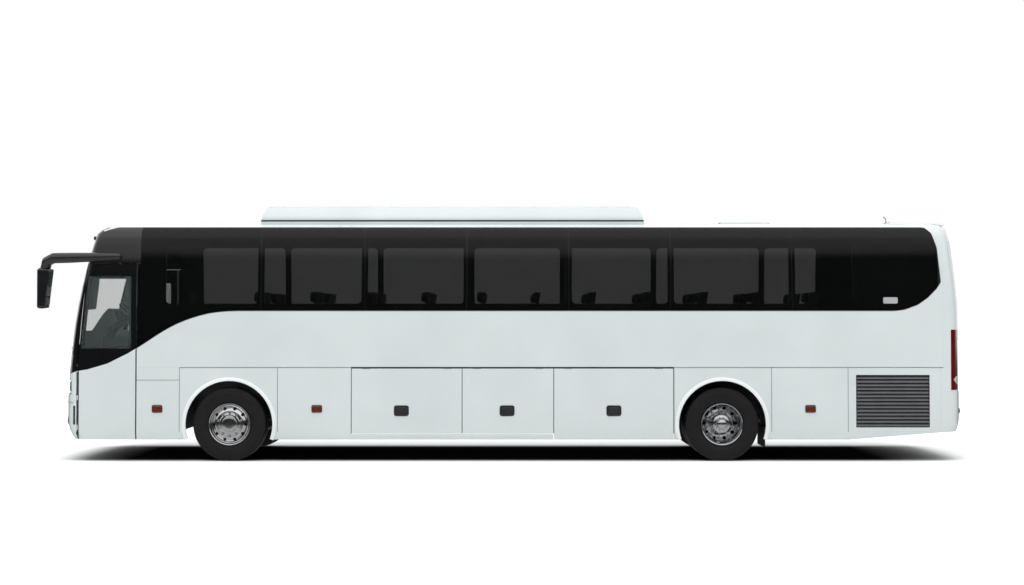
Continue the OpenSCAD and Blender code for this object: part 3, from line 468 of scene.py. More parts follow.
def dusty(f, point, z, colour, share):
    """A little road dust low down."""
    low = (0.75 - z).math("DIVIDE", 0.5).most(0.0).least(1.0)
    dust = low * f.noise(3.5, 5.0, point) * share
    return f.mix(dust, colour, (0.42, 0.42, 0.4))


def body_paint(name="body_paint_white", top=None):
    """White gloss paint for panels at the sides, dark on their inner faces, on the wall's edge beside
    the black doors and, on a luggage door, on the hinge knuckles above its top edge."""
    f = Finish(name, WHITE, 0.2, Coat_Weight=0.6, Coat_Roughness=0.04)
    point, x, y, z = f.place()
    cloud = gloss_relief(f, point, 0.16)
    white = dusty(f, point, z, f.mix(cloud, WHITE, WHITE_LOW), 0.16)
    skin = skin_mask(f, y, z).most((x - at(12.495)).above(0.0, 0.002))
    skin = skin * (1.0 - (at(1.1085) - x).above(0.0, 0.001) * (z - 1.6).above(0.0, 0.002))
    if top:
        skin = skin * (top - z).above(0.0, 0.001)
    f.set("Base Color", f.mix(skin, INNER, white))
    return f.material


def end_paint(name="body_paint_white_all_round", painted_shadow_band=None, white=WHITE, low=WHITE_LOW):
    """The same white for panels that aren't split into skin and inside, with a painted shadow, dark between two
    heights, if given.
    """
    f = Finish(name, WHITE, 0.2, Coat_Weight=0.6, Coat_Roughness=0.04)
    point, x, y, z = f.place()
    cloud = gloss_relief(f, point, 0.16)
    white = dusty(f, point, z, f.mix(cloud, white, low), 0.16)
    if painted_shadow_band:
        bottom, top = painted_shadow_band
        # Painted shadow: a near-black band between the two heights.
        white = f.mix((top - z).above(0.0, 0.002) * (z - bottom).above(0.0, 0.002), white, (0.035, 0.036, 0.038))
    f.set("Base Color", white)
    return f.material


def roof_paint():
    """White paint outside, brighter than the sides' white as a painted highlight on the top, which faces the light;
    pale lining on the ceiling.
    """
    f = Finish("roof_paint", WHITE, 0.2, Coat_Weight=0.5, Coat_Roughness=0.05)
    point, x, y, z = f.place()
    cloud = gloss_relief(f, point, 0.2)
    up = f.node("SeparateXYZ", inputs={0: f.node("TexCoord", out=1)}, out=2)
    under = (-0.2 - up).above(0.0, 0.01)
    # The outside mixes a brighter white, (0.76, 0.8, 0.8), with the body's white: painted highlight on the roof.
    f.set("Base Color", f.mix(under, f.mix(cloud, (0.76, 0.8, 0.8), WHITE), (0.16, 0.165, 0.165)))
    return f.material


# The lower edge of the black front: distance behind the front face and height.
BLACK_EDGE = ((0.0, 1.19), (0.264, 1.279), (0.407, 1.3), (0.55, 1.343), (0.693, 1.385), (0.836, 1.457),
              (0.979, 1.528), (1.193, 1.657), (1.3, 1.727))
# The edge between the black front and the white cap over it.
CAP_EDGE = ((0.0, 2.98), (0.36, 2.98), (0.4, 3.045), (0.436, 3.125), (0.493, 3.188), (0.593, 3.262),
            (0.693, 3.3), (0.8, 3.33), (1.3, 3.345))


def edge_height(f, x, points, low, high):
    """The height of an edge at x, from a ramp through its points."""
    reach = points[-1][0]
    share = (x - FRONT_X) / reach
    ramp = f.node("ValToRGB", inputs={0: share},
                  stops=[(d / reach, (z - low) / (high - low)) for d, z in points])
    return low + (high - low) * ramp


def front_paint():
    """Black gloss front and doors with their white lower part and white cap."""
    f = Finish("front_paint_black_and_white", BLACK, 0.1, Coat_Weight=0.8, Coat_Roughness=0.03)
    point, x, y, z = f.place()
    cloud = gloss_relief(f, point, 0.06)
    white = dusty(f, point, z, f.mix(cloud, WHITE, WHITE_LOW), 0.16)
    lower = (edge_height(f, x, BLACK_EDGE, 1.1, 1.8) - z).above(0.0, 0.002)
    upper = (z - edge_height(f, x, CAP_EDGE, 2.9, 3.4)).above(0.0, 0.002)
    inside = 1.0 - skin_mask(f, y, z)
    toward = ((abs(y) - 1.0).above(0.0, 0.01)) * inside * (x - FRONT_X - 0.45).above(0.0, 0.01)
    f.set("Base Color", f.mix(lower.most(upper) * (1.0 - toward), BLACK, white))
    return f.material


def plain(name, colour, other, rough, scale, spread=0.08, bump=0.0, bump_scale=300.0, distance=0.0008, **uniform):
    """A moulded or painted finish: two close shades in soft patches, uneven gloss, a fine surface."""
    f = Finish(name, colour, rough, **uniform)
    point = f.node("TexCoord", out=3)
    patches = f.noise(scale, 4.0, point)
    f.set("Base Color", f.mix(patches, colour, other))
    f.set("Roughness", rough - spread / 2 + spread * f.noise(scale * 3.1, 3.0, point))
    if bump:
        f.relief(f.noise(bump_scale, 3.0, point), bump, distance)
    return f.material


def glass(name, colour, alpha):
    """Tinted glass: the tint is the share of light that a face stops."""
    f = Finish(name, colour, 0.02, Coat_Weight=0.0, IOR=1.5, Alpha=alpha)
    point, x, y, z = f.place()
    film = f.noise(0.9, 3.0, point)
    f.set("Roughness", 0.012 + 0.03 * film)
    f.set("Base Color", f.mix(film, colour, tuple(c * 1.25 for c in colour)))
    f.relief(f.noise(0.8, 1.0, point), 0.05, 0.01)
    f.material.surface_render_method = "BLENDED"
    return f.material


def rubber():
    f = Finish("tyre_rubber_black", (0.007, 0.007, 0.0075), 0.62, Specular_IOR_Level=0.3)
    point, x, y, z = f.place()
    patch = f.noise(9.0, 5.0, point)
    f.set("Base Color", f.mix(patch, (0.0045, 0.0045, 0.005), (0.011, 0.011, 0.011)))
    f.set("Roughness", 0.5 + 0.25 * f.noise(25.0, 4.0, point))
    f.relief(f.noise(420.0, 3.0, point), 0.25, 0.0006)
    return f.material


def chrome(name="wheel_chrome", colour=(0.8, 0.81, 0.82), rough=0.07):
    f = Finish(name, colour, rough, Metallic=1.0)
    point, x, y, z = f.place()
    haze = f.noise(14.0, 5.0, point)
    f.set("Roughness", rough + 0.16 * haze * haze)
    f.set("Base Color", f.mix(haze, colour, tuple(0.78 * c for c in colour)))
    f.relief(f.noise(60.0, 2.0, point), 0.03, 0.0006)
    return f.material


def lens(name, colour, deep, **uniform):
    """Coloured lamp plastic with fine ribs."""
    f = Finish(name, colour, 0.12, Coat_Weight=1.0, Coat_Roughness=0.03, **uniform)
    point, x, y, z = f.place()
    ribs = (z * 900.0).math("SINE") * 0.5 + 0.5
    f.set("Base Color", f.mix(ribs * 0.5 + 0.5 * f.noise(20.0, 2.0, point), deep, colour))
    f.relief(ribs, 0.25, 0.0006)
    return f.material


def tail_red():
    """Deep red cover with fine ribs, and a clear part for the reversing lamp."""
    f = Finish("tail_lens_deep_red", (0.09, 0.003, 0.004), 0.12, Coat_Weight=0.8, Coat_Roughness=0.03)
    point, x, y, z = f.place()
    ribs = (z * 420.0).math("SINE") * 0.5 + 0.5
    red = f.mix(0.6 * ribs + 0.4 * f.noise(9.0, 2.0, point), (0.055, 0.0012, 0.0016), (0.115, 0.0035, 0.0045))
    lean = abs(z - 1.155) * 0.9
    clear = (z - 1.085).above(0.0, 0.002) * (1.205 - z).above(0.0, 0.002) * (x - at(12.712) - lean).above(0.0, 0.002)
    f.set("Base Color", f.mix(clear, red, (0.5, 0.51, 0.5)))
    f.relief(ribs, 0.3, 0.0008)
    return f.material


def fabric():
    """Woven seat cloth: two dark blue-greys in a small check, with the weave as relief."""
    f = Finish("seat_cloth_blue_grey", (0.03, 0.036, 0.05), 0.85, Sheen_Weight=0.25, Sheen_Roughness=0.4)
    point, x, y, z = f.place()
    warp = (y * 1800.0).math("SINE")
    weft = ((x + z) * 1800.0).math("SINE")
    check = ((y * 210.0).math("SINE") * ((x + z) * 210.0).math("SINE")).above(0.0, 0.4)
    shade = f.mix(check * 0.6 + 0.4 * f.noise(30.0, 4.0, point), (0.018, 0.022, 0.032), (0.045, 0.054, 0.074))
    f.set("Base Color", shade)
    f.set("Roughness", 0.8 + 0.15 * f.noise(60.0, 3.0, point))
    f.relief(warp * weft, 0.35, 0.0006)
    return f.material


PAINT = body_paint()
DOOR_PAINT = body_paint("luggage_door_white", 1.3175)
PAINT_ALL = end_paint()
# The cooler cover's white, with a painted shadow along its foot where it meets the roof.
COOLER_PAINT = end_paint("cooler_cover_white_painted_shadow", (3.424, 3.448))
ROOF_PAINT = roof_paint()
FRONT_PAINT = front_paint()
BLACK_GLOSS = plain("gloss_black_trim", BLACK, (0.012, 0.0125, 0.013), 0.12, 2.0, 0.06, 0.03, 160.0,
                    Coat_Weight=0.6, Coat_Roughness=0.04)
BLACK_PLASTIC = plain("moulded_black_plastic", (0.012, 0.0125, 0.013), (0.022, 0.0225, 0.023), 0.45, 6.0, 0.15,
                      0.25, 900.0, 0.0004)
GRILLE_PAINT = plain("grille_black_metal", (0.012, 0.0122, 0.013), (0.022, 0.022, 0.024), 0.38, 5.0, 0.12, 0.1, 300.0,
                     Metallic=0.2)
DARK_STEEL = plain("dark_steel", (0.09, 0.092, 0.095), (0.14, 0.142, 0.145), 0.38, 8.0, 0.2, 0.1, 200.0, Metallic=0.9)
CHASSIS = plain("chassis_paint_black", (0.018, 0.018, 0.019), (0.045, 0.042, 0.038), 0.55, 4.0, 0.25, 0.3, 130.0)
CAST = plain("cast_iron_grey", (0.1, 0.1, 0.1), (0.17, 0.165, 0.16), 0.6, 7.0, 0.25, 0.5, 160.0, 0.0012,
             Metallic=0.6)
FLOORING = plain("speckled_floor_covering", (0.1, 0.105, 0.11), (0.15, 0.155, 0.16), 0.6, 260.0, 0.1, 0.2, 700.0)
DASH = plain("soft_dash_grain", (0.022, 0.023, 0.025), (0.036, 0.037, 0.039), 0.6, 5.0, 0.1, 0.5, 650.0, 0.0008)
TINTED = glass("dark_tinted_glass", (0.002, 0.0023, 0.0023), 0.6)
CLEAR = glass("clear_glass", (0.1, 0.125, 0.12), 0.17)
RUBBER = rubber()
CHROME = chrome()
BRIGHT = chrome("polished_rim_steel", (0.7, 0.71, 0.72), 0.12)
ORANGE = lens("marker_lens_orange", (0.14, 0.02, 0.01), (0.055, 0.008, 0.005))
SEAM = plain("seam_sealer_dark", (0.02, 0.021, 0.022), (0.035, 0.036, 0.037), 0.7, 8.0, 0.1, 0.2, 300.0)
PALE = plain("pale_grey_plate", (0.32, 0.33, 0.33), (0.4, 0.41, 0.41), 0.4, 12.0, 0.1, 0.1, 200.0)
# A bright metal strip that stands in for the highlight on the band's lower edge: painted highlight.
EDGE_HIGHLIGHT_LINE = plain("band_edge_highlight_metal", (0.55, 0.56, 0.57), (0.65, 0.66, 0.67), 0.25, 6.0, 0.1, 0.05, 200.0, Metallic=0.6)
# The lips' white is brighter than the body's: a painted highlight where the lip catches the light from above.
LIP_HIGHLIGHT_PAINT = end_paint("arch_lip_painted_highlight_white", white=(0.72, 0.76, 0.76), low=(0.66, 0.7, 0.7))
SLAT = plain("grille_slat_grey", (0.09, 0.095, 0.1), (0.14, 0.145, 0.15), 0.35, 6.0, 0.12, 0.1, 300.0, Metallic=0.3)
MIRROR = chrome("mirror_glass", (0.86, 0.87, 0.88), 0.02)
TAIL = tail_red()
LAMP_COVER = glass("lamp_cover_clear", (0.3, 0.32, 0.33), 0.14)
FABRIC = fabric()
SLOT_OF = {finish.name: slot for slot, finishes in (
    ("black_plastic", (BLACK_PLASTIC, SEAM, SLAT, GRILLE_PAINT, DASH)), ("lamp_clear", (PALE, LAMP_COVER)),
    ("body_paint", (PAINT_ALL, LIP_HIGHLIGHT_PAINT, EDGE_HIGHLIGHT_LINE)), ("rim_chrome", (CHROME, BRIGHT, MIRROR)),
    ("lamp_red", (ORANGE, TAIL)), ("tyre_rubber", (RUBBER,)), ("seat_fabric", (FABRIC,))) for finish in finishes}

# ---- the coach's own parts: a merged copy of each with smoothed skin ----------------------
SKIN_FINISH = {
    "roof": ROOF_PAINT, "side_wall_left": PAINT, "side_wall_right": PAINT, "front_frame": FRONT_PAINT,
    "front_panel": FRONT_PAINT, "front_bumper": PAINT_ALL, "rear_panel": PAINT_ALL, "rear_bumper": PAINT_ALL,
    "engine_door": PAINT_ALL, "skirt_left": PAINT, "skirt_right": PAINT, "driver_door": FRONT_PAINT,
    "entry_door": FRONT_PAINT, "roof_hatch": PAINT_ALL, "mirrors": BLACK_GLOSS,
    "side_windows": TINTED, "rear_window": TINTED, "windscreen": CLEAR, "driver_door_window": CLEAR,
    "entry_door_window": CLEAR, "floor": FLOORING, "wheel_housings": BLACK_PLASTIC, "mudflaps": RUBBER,
    "chassis_frame": CHASSIS, "front_axle": CHASSIS, "rear_axle": CHASSIS, "engine_block": CAST,
    "steering_knuckle_left": CAST, "steering_knuckle_right": CAST, "tie_rod": DARK_STEEL,
    "door_hinges": CHASSIS, "dashboard": DASH, "roof_air_conditioner": COOLER_PAINT,
}
for side_name, _ in SIDES:
    for number in (1, 2, 3):
        SKIN_FINISH["luggage_door_%s_%d" % (side_name, number)] = DOOR_PAINT


def smooth_copy(node, finish, name=None, slot=None):
    """A copy of a CAD node with its loose triangles merged, flat faces joined and blunt edges smoothed."""
    source = nodes[node]
    piece = source.copy()
    piece.data = source.data.copy()
    for key in list(piece.keys()):
        if key.startswith("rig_"):
            del piece[key]
    piece.parent = None
    piece.hide_render = piece.hide_viewport = False
    bpy.context.scene.collection.objects.link(piece)
    piece.hide_set(False)
    edit(piece)
    bpy.ops.mesh.remove_doubles(threshold=0.00001)
    bpy.ops.mesh.dissolve_limited(angle_limit=math.radians(0.1))
    bpy.ops.object.mode_set(mode="OBJECT")
    bpy.ops.object.shade_smooth_by_angle(angle=math.radians(32))
    changed(piece, "WEIGHTED_NORMAL", keep_sharp=True, weight=60)
    return fit(name or node + "_finished", piece, finish, node, body=body_of_node[node],
               slot=slot or slot_of_node[node])


for node, finish in SKIN_FINISH.items():
    smooth_copy(node, finish)
# The opening behind the windscreen, which the front frame's thin back sheet would close.
cut(bpy.data.objects["front_frame_finished"],
    sheet_of("opening", [(at(-0.3), -1.024, 1.585), (at(-0.3), 1.024, 1.585),
                         (at(-0.3), 1.065, 2.657), (at(-0.3), -1.065, 2.657)], (1.0, 0, 0), 0.0, 0))
for node in nodes:
    if node not in SKIN_FINISH:
        nodes[node].data.materials.clear()
        nodes[node].data.materials.append(BLACK_PLASTIC)

# ---- wheels -------------------------------------------------------------------------------
TYRE_HALF = 0.145
WHEEL_Y = HALF_W - 0.022 - TYRE_HALF
TWIN_PITCH = 0.335
# A tyre's section from the bead to the middle of the tread: radius, distance from the middle.
TYRE_SECTION = (
    (0.2866, 0.116), (0.302, 0.1165), (0.311, 0.1235), (0.317, 0.131), (0.323, 0.133), (0.329, 0.131),
    (0.334, 0.1325), (0.355, 0.139), (0.3575, 0.1405), (0.36, 0.1395), (0.39, 0.144), (0.42, 0.145),
    (0.443, 0.144), (0.4455, 0.1452), (0.448, 0.1436), (0.465, 0.1415), (0.481, 0.1385), (0.496, 0.1345),
    (0.508, 0.129), (0.5155, 0.1225), (0.5195, 0.114), (0.5205, 0.105), (0.5212, 0.08), (0.511, 0.078),
    (0.511, 0.07), (0.5216, 0.068), (0.5219, 0.03), (0.5115, 0.0285), (0.5115, 0.0205), (0.522, 0.019))


def shoulder_slots(centre, count, depth, wide, low, high, turn):
    """Cutters for the slots across a tyre's shoulders."""
    first = slab("slot", (-wide / 2, low, TYRE_R - depth), (wide / 2, high, TYRE_R + 0.01), 0.0)
    pieces = []
    for i in range(count):
        for flip in (1, -1):
            swing = Matrix.Rotation((i + (0.5 if flip < 0 else 0.0)) * 2 * math.pi / count, 4, "Y")
            lean = Matrix.Rotation(flip * turn, 4, "Z") @ Matrix.Scale(flip, 4, (0, 1, 0))
            pieces.append(again(first, "slot", Matrix.Translation(centre) @ swing @ lean))
    bpy.data.objects.remove(first)
    return joined("slots", pieces)


def tyre():
    section = list(TYRE_SECTION) + [(r, -a) for r, a in reversed(TYRE_SECTION)]
    piece = turned("tyre", section, (0, 0, 0), steps=112, smooth=28)
    cut(piece, shoulder_slots(Vector(), 56, 0.007, 0.0045, 0.084, 0.15, 0.12))
    return done(piece, 28)


FRONT_RIM = ((0.2858, 0.1164), (0.302, 0.1164), (0.3024, 0.1255), (0.299, 0.1302), (0.292, 0.1306),
             (0.286, 0.127), (0.28, 0.118), (0.2745, 0.101), (0.27, 0.086), (0.263, 0.079),
             (0.252, 0.081), (0.236, 0.092), (0.217, 0.1065), (0.201, 0.1175), (0.192, 0.1222),
             (0.186, 0.1235), (0.15, 0.1235), (0.145, 0.1255), (0.139, 0.13), (0.12, 0.132),
             (0.11, 0.134), (0.106, 0.148), (0.099, 0.156), (0.086, 0.159), (0.05, 0.1602),
             (0.0, 0.1605), (0.0, 0.104), (0.0435, 0.104), (0.0435, 0.03), (0.135, 0.03),
             (0.135, 0.11), (0.19, 0.11), (0.215, 0.096), (0.235, 0.081), (0.255, 0.067),
             (0.2718, 0.066), (0.2718, -0.108), (0.283, -0.12), (0.2985, -0.1305), (0.302, -0.129),
             (0.302, -0.1164), (0.2858, -0.1164))
REAR_OUTER = (
    (0.2858, 0.1164), (0.302, 0.1164), (0.3024, 0.1255), (0.299, 0.1302), (0.292, 0.1306), (0.285, 0.126),
    (0.278, 0.112), (0.2735, 0.09), (0.27, 0.03), (0.267, -0.04), (0.264, -0.08), (0.25, -0.099),
    (0.228, -0.118), (0.208, -0.137), (0.196, -0.1465), (0.188, -0.1495), (0.148, -0.1495))
REAR_HUB = (
    (0.142, -0.146), (0.136, -0.12), (0.134, -0.05), (0.133, 0.03), (0.133, 0.048), (0.127, 0.057),
    (0.118, 0.059), (0.116, 0.064), (0.106, 0.07), (0.076, 0.072), (0.072, 0.079), (0.068, 0.105),
    (0.06, 0.118), (0.045, 0.126), (0.0, 0.1295), (0.0, 0.064), (0.0435, 0.064), (0.0435, -0.1675))
REAR_BACK = ((0.19, -0.1675), (0.21, -0.156), (0.25, -0.118), (0.2718, -0.097), (0.2718, -0.115),
             (0.285, -0.126), (0.2985, -0.1305), (0.302, -0.129), (0.302, -0.1164), (0.2858, -0.1164))
INNER_HUB = ((0.138, -0.14), (0.135, -0.12), (0.135, 0.02), (0.0435, 0.02), (0.0435, -0.1675))


def round_places(radius, count, first=0.0):
    """The angle and the x and z of each place round an axle."""
    for i in range(count):
        angle = (i + first) * 2 * math.pi / count
        yield angle, radius * math.sin(angle), radius * math.cos(angle)


def rod(name, sides, size, low, high, x, z, turn=0.0):
    """A short bar along y."""
    deselect()
    bpy.ops.mesh.primitive_cylinder_add(vertices=sides, radius=size, depth=high - low,
                                        rotation=(math.pi / 2, turn, 0), location=(x, (low + high) / 2, z))
    piece = started(name)
    set_in_place()
    return piece


def domed(piece, steps):
    """Draws the outer face of a nut or bolt in and up, by steps of inset and rise."""
    edit(piece)
    pick(piece, "FACE", lambda p: p.normal.y > 0.9)
    for inset, rise in steps:
        bpy.ops.mesh.inset(thickness=inset)
        bpy.ops.transform.translate(value=(0, rise, 0))
    return done(piece, 20)


def holes(radius, size, low, high):
    """Cutters for ten hand holes."""
    return joined("holes", [done(rod("hole", 28, size, low, high, x, z))
                            for _, x, z in round_places(radius, 10, 0.5)])


def nuts(foot, height, radius=0.1675, size=0.0165):
    """Ten hexagonal wheel nuts with chamfered tops on washers, standing on the disc."""
    parts = []
    for turn, x, z in round_places(radius, 10):
        nut = rod("nut", 6, size, foot, foot + height, x, z, turn)
        parts.append(domed(nut, ((size * 0.22, height * 0.16), (size * 0.3, height * 0.05))))
        washer = rod("washer", 20, size * 1.3, foot - 0.0002, foot + 0.0038, x, z)
        edit(washer, "EDGE")
        bpy.ops.mesh.bevel(offset=0.001, segments=1, affect="EDGES")
        parts.append(done(washer))
    return joined("nuts", parts)


def hub_bolts(radius=0.0925, size=0.0085, foot=0.07, height=0.008):
    return joined("bolts", [domed(rod("bolt", 6, size, foot, foot + height, x, z, turn), ((size * 0.25, height * 0.2),))
                            for turn, x, z in round_places(radius, 10, 0.5)])


def ring_plate(name, radii, low, high, centre=(0, 0, 0), axis="Y"):
    """A flat ring or, from the axis, a disc."""
    inner, outer = radii
    return turned(name, ((inner, low), (outer, low), (outer, high), (inner, high)), centre, 48, axis)


def wheels():
    one_tyre = tyre()
    front, outer, inner = [turned("rim", section, steps=steps, smooth=30) for section, steps in (
        (FRONT_RIM, 120), (REAR_OUTER + REAR_HUB + REAR_BACK, 120), (REAR_OUTER + INNER_HUB + REAR_BACK, 96))]
    cut(front, holes(0.2275, 0.0235, 0.02, 0.16))
    for rim in (outer, inner):
        cut(rim, holes(0.224, 0.026, -0.22, -0.05))
    for rim in (front, outer, inner):
        done(rim, 30)
    front_nuts, rear_nuts, bolts = nuts(0.1235, 0.024), nuts(-0.1495, 0.03), hub_bolts()
    valve = turned("valve", ((0.0001, -0.012), (0.006, -0.012), (0.006, 0.014), (0.0035, 0.018), (0.0001, 0.018)),
                   (0.254, 0.09, 0.0), steps=16)
    # Dark rings that close the view through the hand holes.
    shield = ring_plate("shield", (0.137, 0.262), 0.04, 0.044)
    deep_shield = ring_plate("shield", (0.139, 0.262), -0.02, -0.016)
    for side_name, side in SIDES:
        turn, turn_back = mirror(side), mirror(-side)
        ahead, out, back = [Matrix.Translation((x, side * (WHEEL_Y - inward), HUB_Z))
                            for x, inward in ((AXLE_X[0], 0.0), (AXLE_X[1], 0.0), (AXLE_X[1], TWIN_PITCH))]
        for axle, name, copies, finish, replaced in (
                ("front_wheel_", "front_wheel_shield_%s", [(shield, ahead @ turn)], BLACK_PLASTIC, None),
                ("front_wheel_", "front_tyre_%s_rubber", [(one_tyre, ahead)], RUBBER, "front_tyre_"),
                ("front_wheel_", "front_rim_%s_chrome", [(front, ahead @ turn)], CHROME, "front_rim_"),
                ("front_wheel_", "front_wheel_nuts_%s", [(front_nuts, ahead @ turn), (valve, ahead @ turn)], BRIGHT,
                 None),
                ("rear_wheels_", "rear_wheel_shield_%s", [(deep_shield, back @ turn_back)], BLACK_PLASTIC, None),
                ("rear_wheels_", "rear_tyres_%s_rubber", [(one_tyre, out), (one_tyre, back)], RUBBER, "rear_tyres_"),
                ("rear_wheels_", "rear_rims_%s_chrome", [(outer, out @ turn), (inner, back @ turn_back)], CHROME,
                 "rear_rims_"),
                ("rear_wheels_", "rear_wheel_nuts_%s", [(rear_nuts, out @ turn), (bolts, out @ turn)], BRIGHT, None)):
            fit(name % side_name, [again(piece, "part", place) for piece, place in copies], finish,
                *([replaced + side_name] if replaced else []), body=axle + side_name)
    for piece in (one_tyre, front, outer, inner, front_nuts, rear_nuts, bolts, valve, shield, deep_shield):
        bpy.data.objects.remove(piece)


wheels()


# ---- side trim ----------------------------------------------------------------------------
def rounded_plate(name, centre, width, height, thick, radius, soften, side):
    """A plate on the side with rounded corners, standing proud of the skin."""
    deselect()
    x, y, z = centre
    bpy.ops.mesh.primitive_cube_add(size=1, location=centre, scale=(width, thick, height))
    piece = started(name)
    set_in_place()
    edit(piece, "EDGE")
    pick(piece, "EDGE", lambda e: abs(piece.data.vertices[e.vertices[0]].co.y
                                      - piece.data.vertices[e.vertices[1]].co.y) > thick * 0.5)
    bpy.ops.mesh.bevel(offset=radius, segments=6, affect="EDGES")
    if soften:
        pick(piece, "FACE", lambda p: p.normal.y * side > 0.9)
        bpy.ops.mesh.inset(thickness=soften)
        bpy.ops.transform.translate(value=(0, side * soften * 0.6, 0))
    return piece


MARKERS, MARKER_Z = (1.4, 3.665, 10.67), 0.742
HANDLES = (4.865, 6.365, 7.88)


def side_markers():
    """Orange marker lamps in black rims."""
    for side_name, side in SIDES:
        for name, finish, out, size in (("lenses", ORANGE, 0.0075, (0.124, 0.084, 0.007, 0.016, 0.01)),
                                        ("rims", BLACK_PLASTIC, 0.003, (0.15, 0.108, 0.006, 0.022, 0.003))):
            fit("side_marker_%s_%s" % (name, side_name),
                [done(rounded_plate("marker", (at(d), side * (HALF_W + out), MARKER_Z), *size, side))
                 for d in MARKERS], finish)


def luggage_handles():
    """A black dish with a paddle and a lock on each luggage door."""
    for side_name, side in SIDES:
        y = side * HALF_W
        for number, d in enumerate(HANDLES, 1):
            dish = rounded_plate("dish", (at(d), y + side * 0.002, 0.715), 0.212, 0.152, 0.005, 0.035, 0.004, side)
            bpy.ops.mesh.inset(thickness=0.01)
            bpy.ops.transform.translate(value=(0, -side * 0.006, 0))
            done(dish)
            paddle = rounded_plate("paddle", (at(d), y + side * 0.004, 0.726), 0.15, 0.074, 0.01, 0.018, 0.008, side)
            done(paddle)
            lock = turned("lock", ((0.0001, -0.004), (0.014, -0.004), (0.014, 0.006), (0.011, 0.008), (0.0001, 0.008)),
                          steps=24)
            lock.data.transform(Matrix.Translation((at(d), y + side * 0.002, 0.664)) @ mirror(side))
            if side < 0:
                lock.data.flip_normals()
            fit("luggage_handle_%s_%d" % (side_name, number), [dish, paddle, lock], BLACK_PLASTIC,
                body="luggage_door_%s_%d" % (side_name, number))


def strip(points, side, width, proud=0.0008):
    """A thin strip laid on the side skin through points of distance and height."""
    parts = []
    for (d0, z0), (d1, z1) in zip(points, points[1:]):
        a, b = side_skin(side, d0, z0), side_skin(side, d1, z1)
        run = (b - a).normalized()
        across = Vector((-run.z, 0, run.x)) * width / 2
        out = Vector((0, side * proud, 0))
        quad = [a - across, b - across, b + across, a + across]
        parts.append(sheet_of("strip", [q - out for q in quad], out * 2, 0.0, 0))
    return parts


# Upright seams: distance, foot and top. Level seams: start, end, height and width.
UPRIGHT_SEAMS = ((1.714, 0.31), (3.107, 0.31), (10.12, 0.31), (8.735, 0.385), (11.205, 0.312))
LEVEL_SEAMS = ((1.106, 1.714, 1.15, 0.006), (1.714, 4.146, 1.3265, 0.007), (8.738, 12.56, 1.3265, 0.007))


def panel_seams():
    for side_name, side in SIDES:
        parts = []
        for d, foot in UPRIGHT_SEAMS:
            parts += strip([(d, foot), (d, TUCK_TOP), (d, 1.323)], side, 0.006)
        for start, end, z, width in LEVEL_SEAMS:
            parts += strip([(start, z), (end, z)], side, width)
        fit("panel_seams_" + side_name, parts, SEAM)


# A wheel arch lip's section: outside the arch's radius, proud of the side.
LIP = ((0.002, -0.02), (0.001, 0.006), (0.004, 0.0105), (0.012, 0.012), (0.03, 0.0095), (0.054, 0.001),
       (0.054, -0.02))
LIP_FOOT_Z = 0.31


def arch_lips():
    """A raised lip round each wheel arch, in a brighter white than the body's as a painted highlight."""
    half = math.pi - math.acos((HUB_Z - LIP_FOOT_Z) / (ARCH_R + 0.02))
    first = Matrix.Rotation(-half, 3, "Y")
    for side_name, side in SIDES:
        for name, x in zip(("front", "rear"), AXLE_X):
            centre = Vector((x, side * HALF_W, HUB_Z))
            piece = drawn("lip", [centre + first @ Vector((0, side * a, ARCH_R + r)) for r, a in LIP])
            spun(64, -2 * half, centre, (0, 1, 0))
            fit("arch_lip_%s_%s" % (name, side_name), done(piece, 40), LIP_HIGHLIGHT_PAINT)


# A slat's section: inward, up, and up by a share of the pitch.
SLAT_SECTION = ((0.002, 0.0, 0.0), (0.0, 0.003, 0.0), (0.004, 0.0, 0.4), (0.034, 0.0, 0.86), (0.036, 0.0, 0.82),
                (0.01, 0.0, 0.34))
SLATS = 14


def louvres():
    """Side grille: a dark frame with slanted slats."""
    low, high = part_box("side_grilles")
    pitch = (high.z - low.z - 0.02) / SLATS
    edge = 0.012
    for side_name, side in SIDES:
        y = side * (HALF_W - 0.001)
        slats = [sheet_of("slat", [(low.x + 0.01, y - side * inward, low.z + 0.014 + i * pitch + up + share * pitch)
                                   for inward, up, share in SLAT_SECTION], (high.x - low.x - 0.02, 0, 0), 0.0, 25)
                 for i in range(SLATS)]
        y0, y1 = sorted((y, y - side * 0.03))
        parts = [slab("edge", (x0, y0, z0), (x1, y1, z1), 0.002) for x0, x1, z0, z1 in (
            (low.x, low.x + edge, low.z, high.z), (high.x - edge, high.x, low.z, high.z),
            (low.x, high.x, low.z, low.z + edge), (low.x, high.x, high.z - edge, high.z))]
        y0, y1 = sorted((y - side * 0.037, y - side * 0.04))
        parts.append(slab("back", (low.x, y0, low.z), (high.x, y1, high.z), 0.0))
        fit("side_grille_slats_" + side_name, slats, SLAT, *(["side_grilles"] if side < 0 else []))
        fit("side_grille_frame_" + side_name, parts, GRILLE_PAINT)


# The lower edge of the dark band, from the front doors to the rear corner.
BAND_EDGE = ((1.108, 1.602), (1.21, 1.668), (1.409, 1.8), (1.56, 1.89), (1.695, 1.957), (1.83, 2.011),
             (1.981, 2.06), (2.12, 2.094), (2.267, 2.116), (2.41, 2.127), (2.553, 2.131), (11.866, 2.131),
             (12.014, 2.149), (12.204, 2.219), (12.348, 2.321), (12.474, 2.449), (12.534, 2.541), (12.489, 3.032),
             (12.419, 3.242))


def band_line():
    """A thin bright line along the band's lower edge, a painted highlight on that edge, and the blank label plate."""
    for side_name, side in SIDES:
        fit("band_line_" + side_name, tube("line", [side_skin(side, d, z - 0.002) for d, z in BAND_EDGE], 0.0028), EDGE_HIGHLIGHT_LINE)
        spot = (at(11.813), side * (wall_half(2.28) + 0.001), 2.281)
        fit("band_label_plate_" + side_name,
            done(rounded_plate("plate", spot, 0.205, 0.088, 0.004, 0.02, 0.002, side)), PALE)


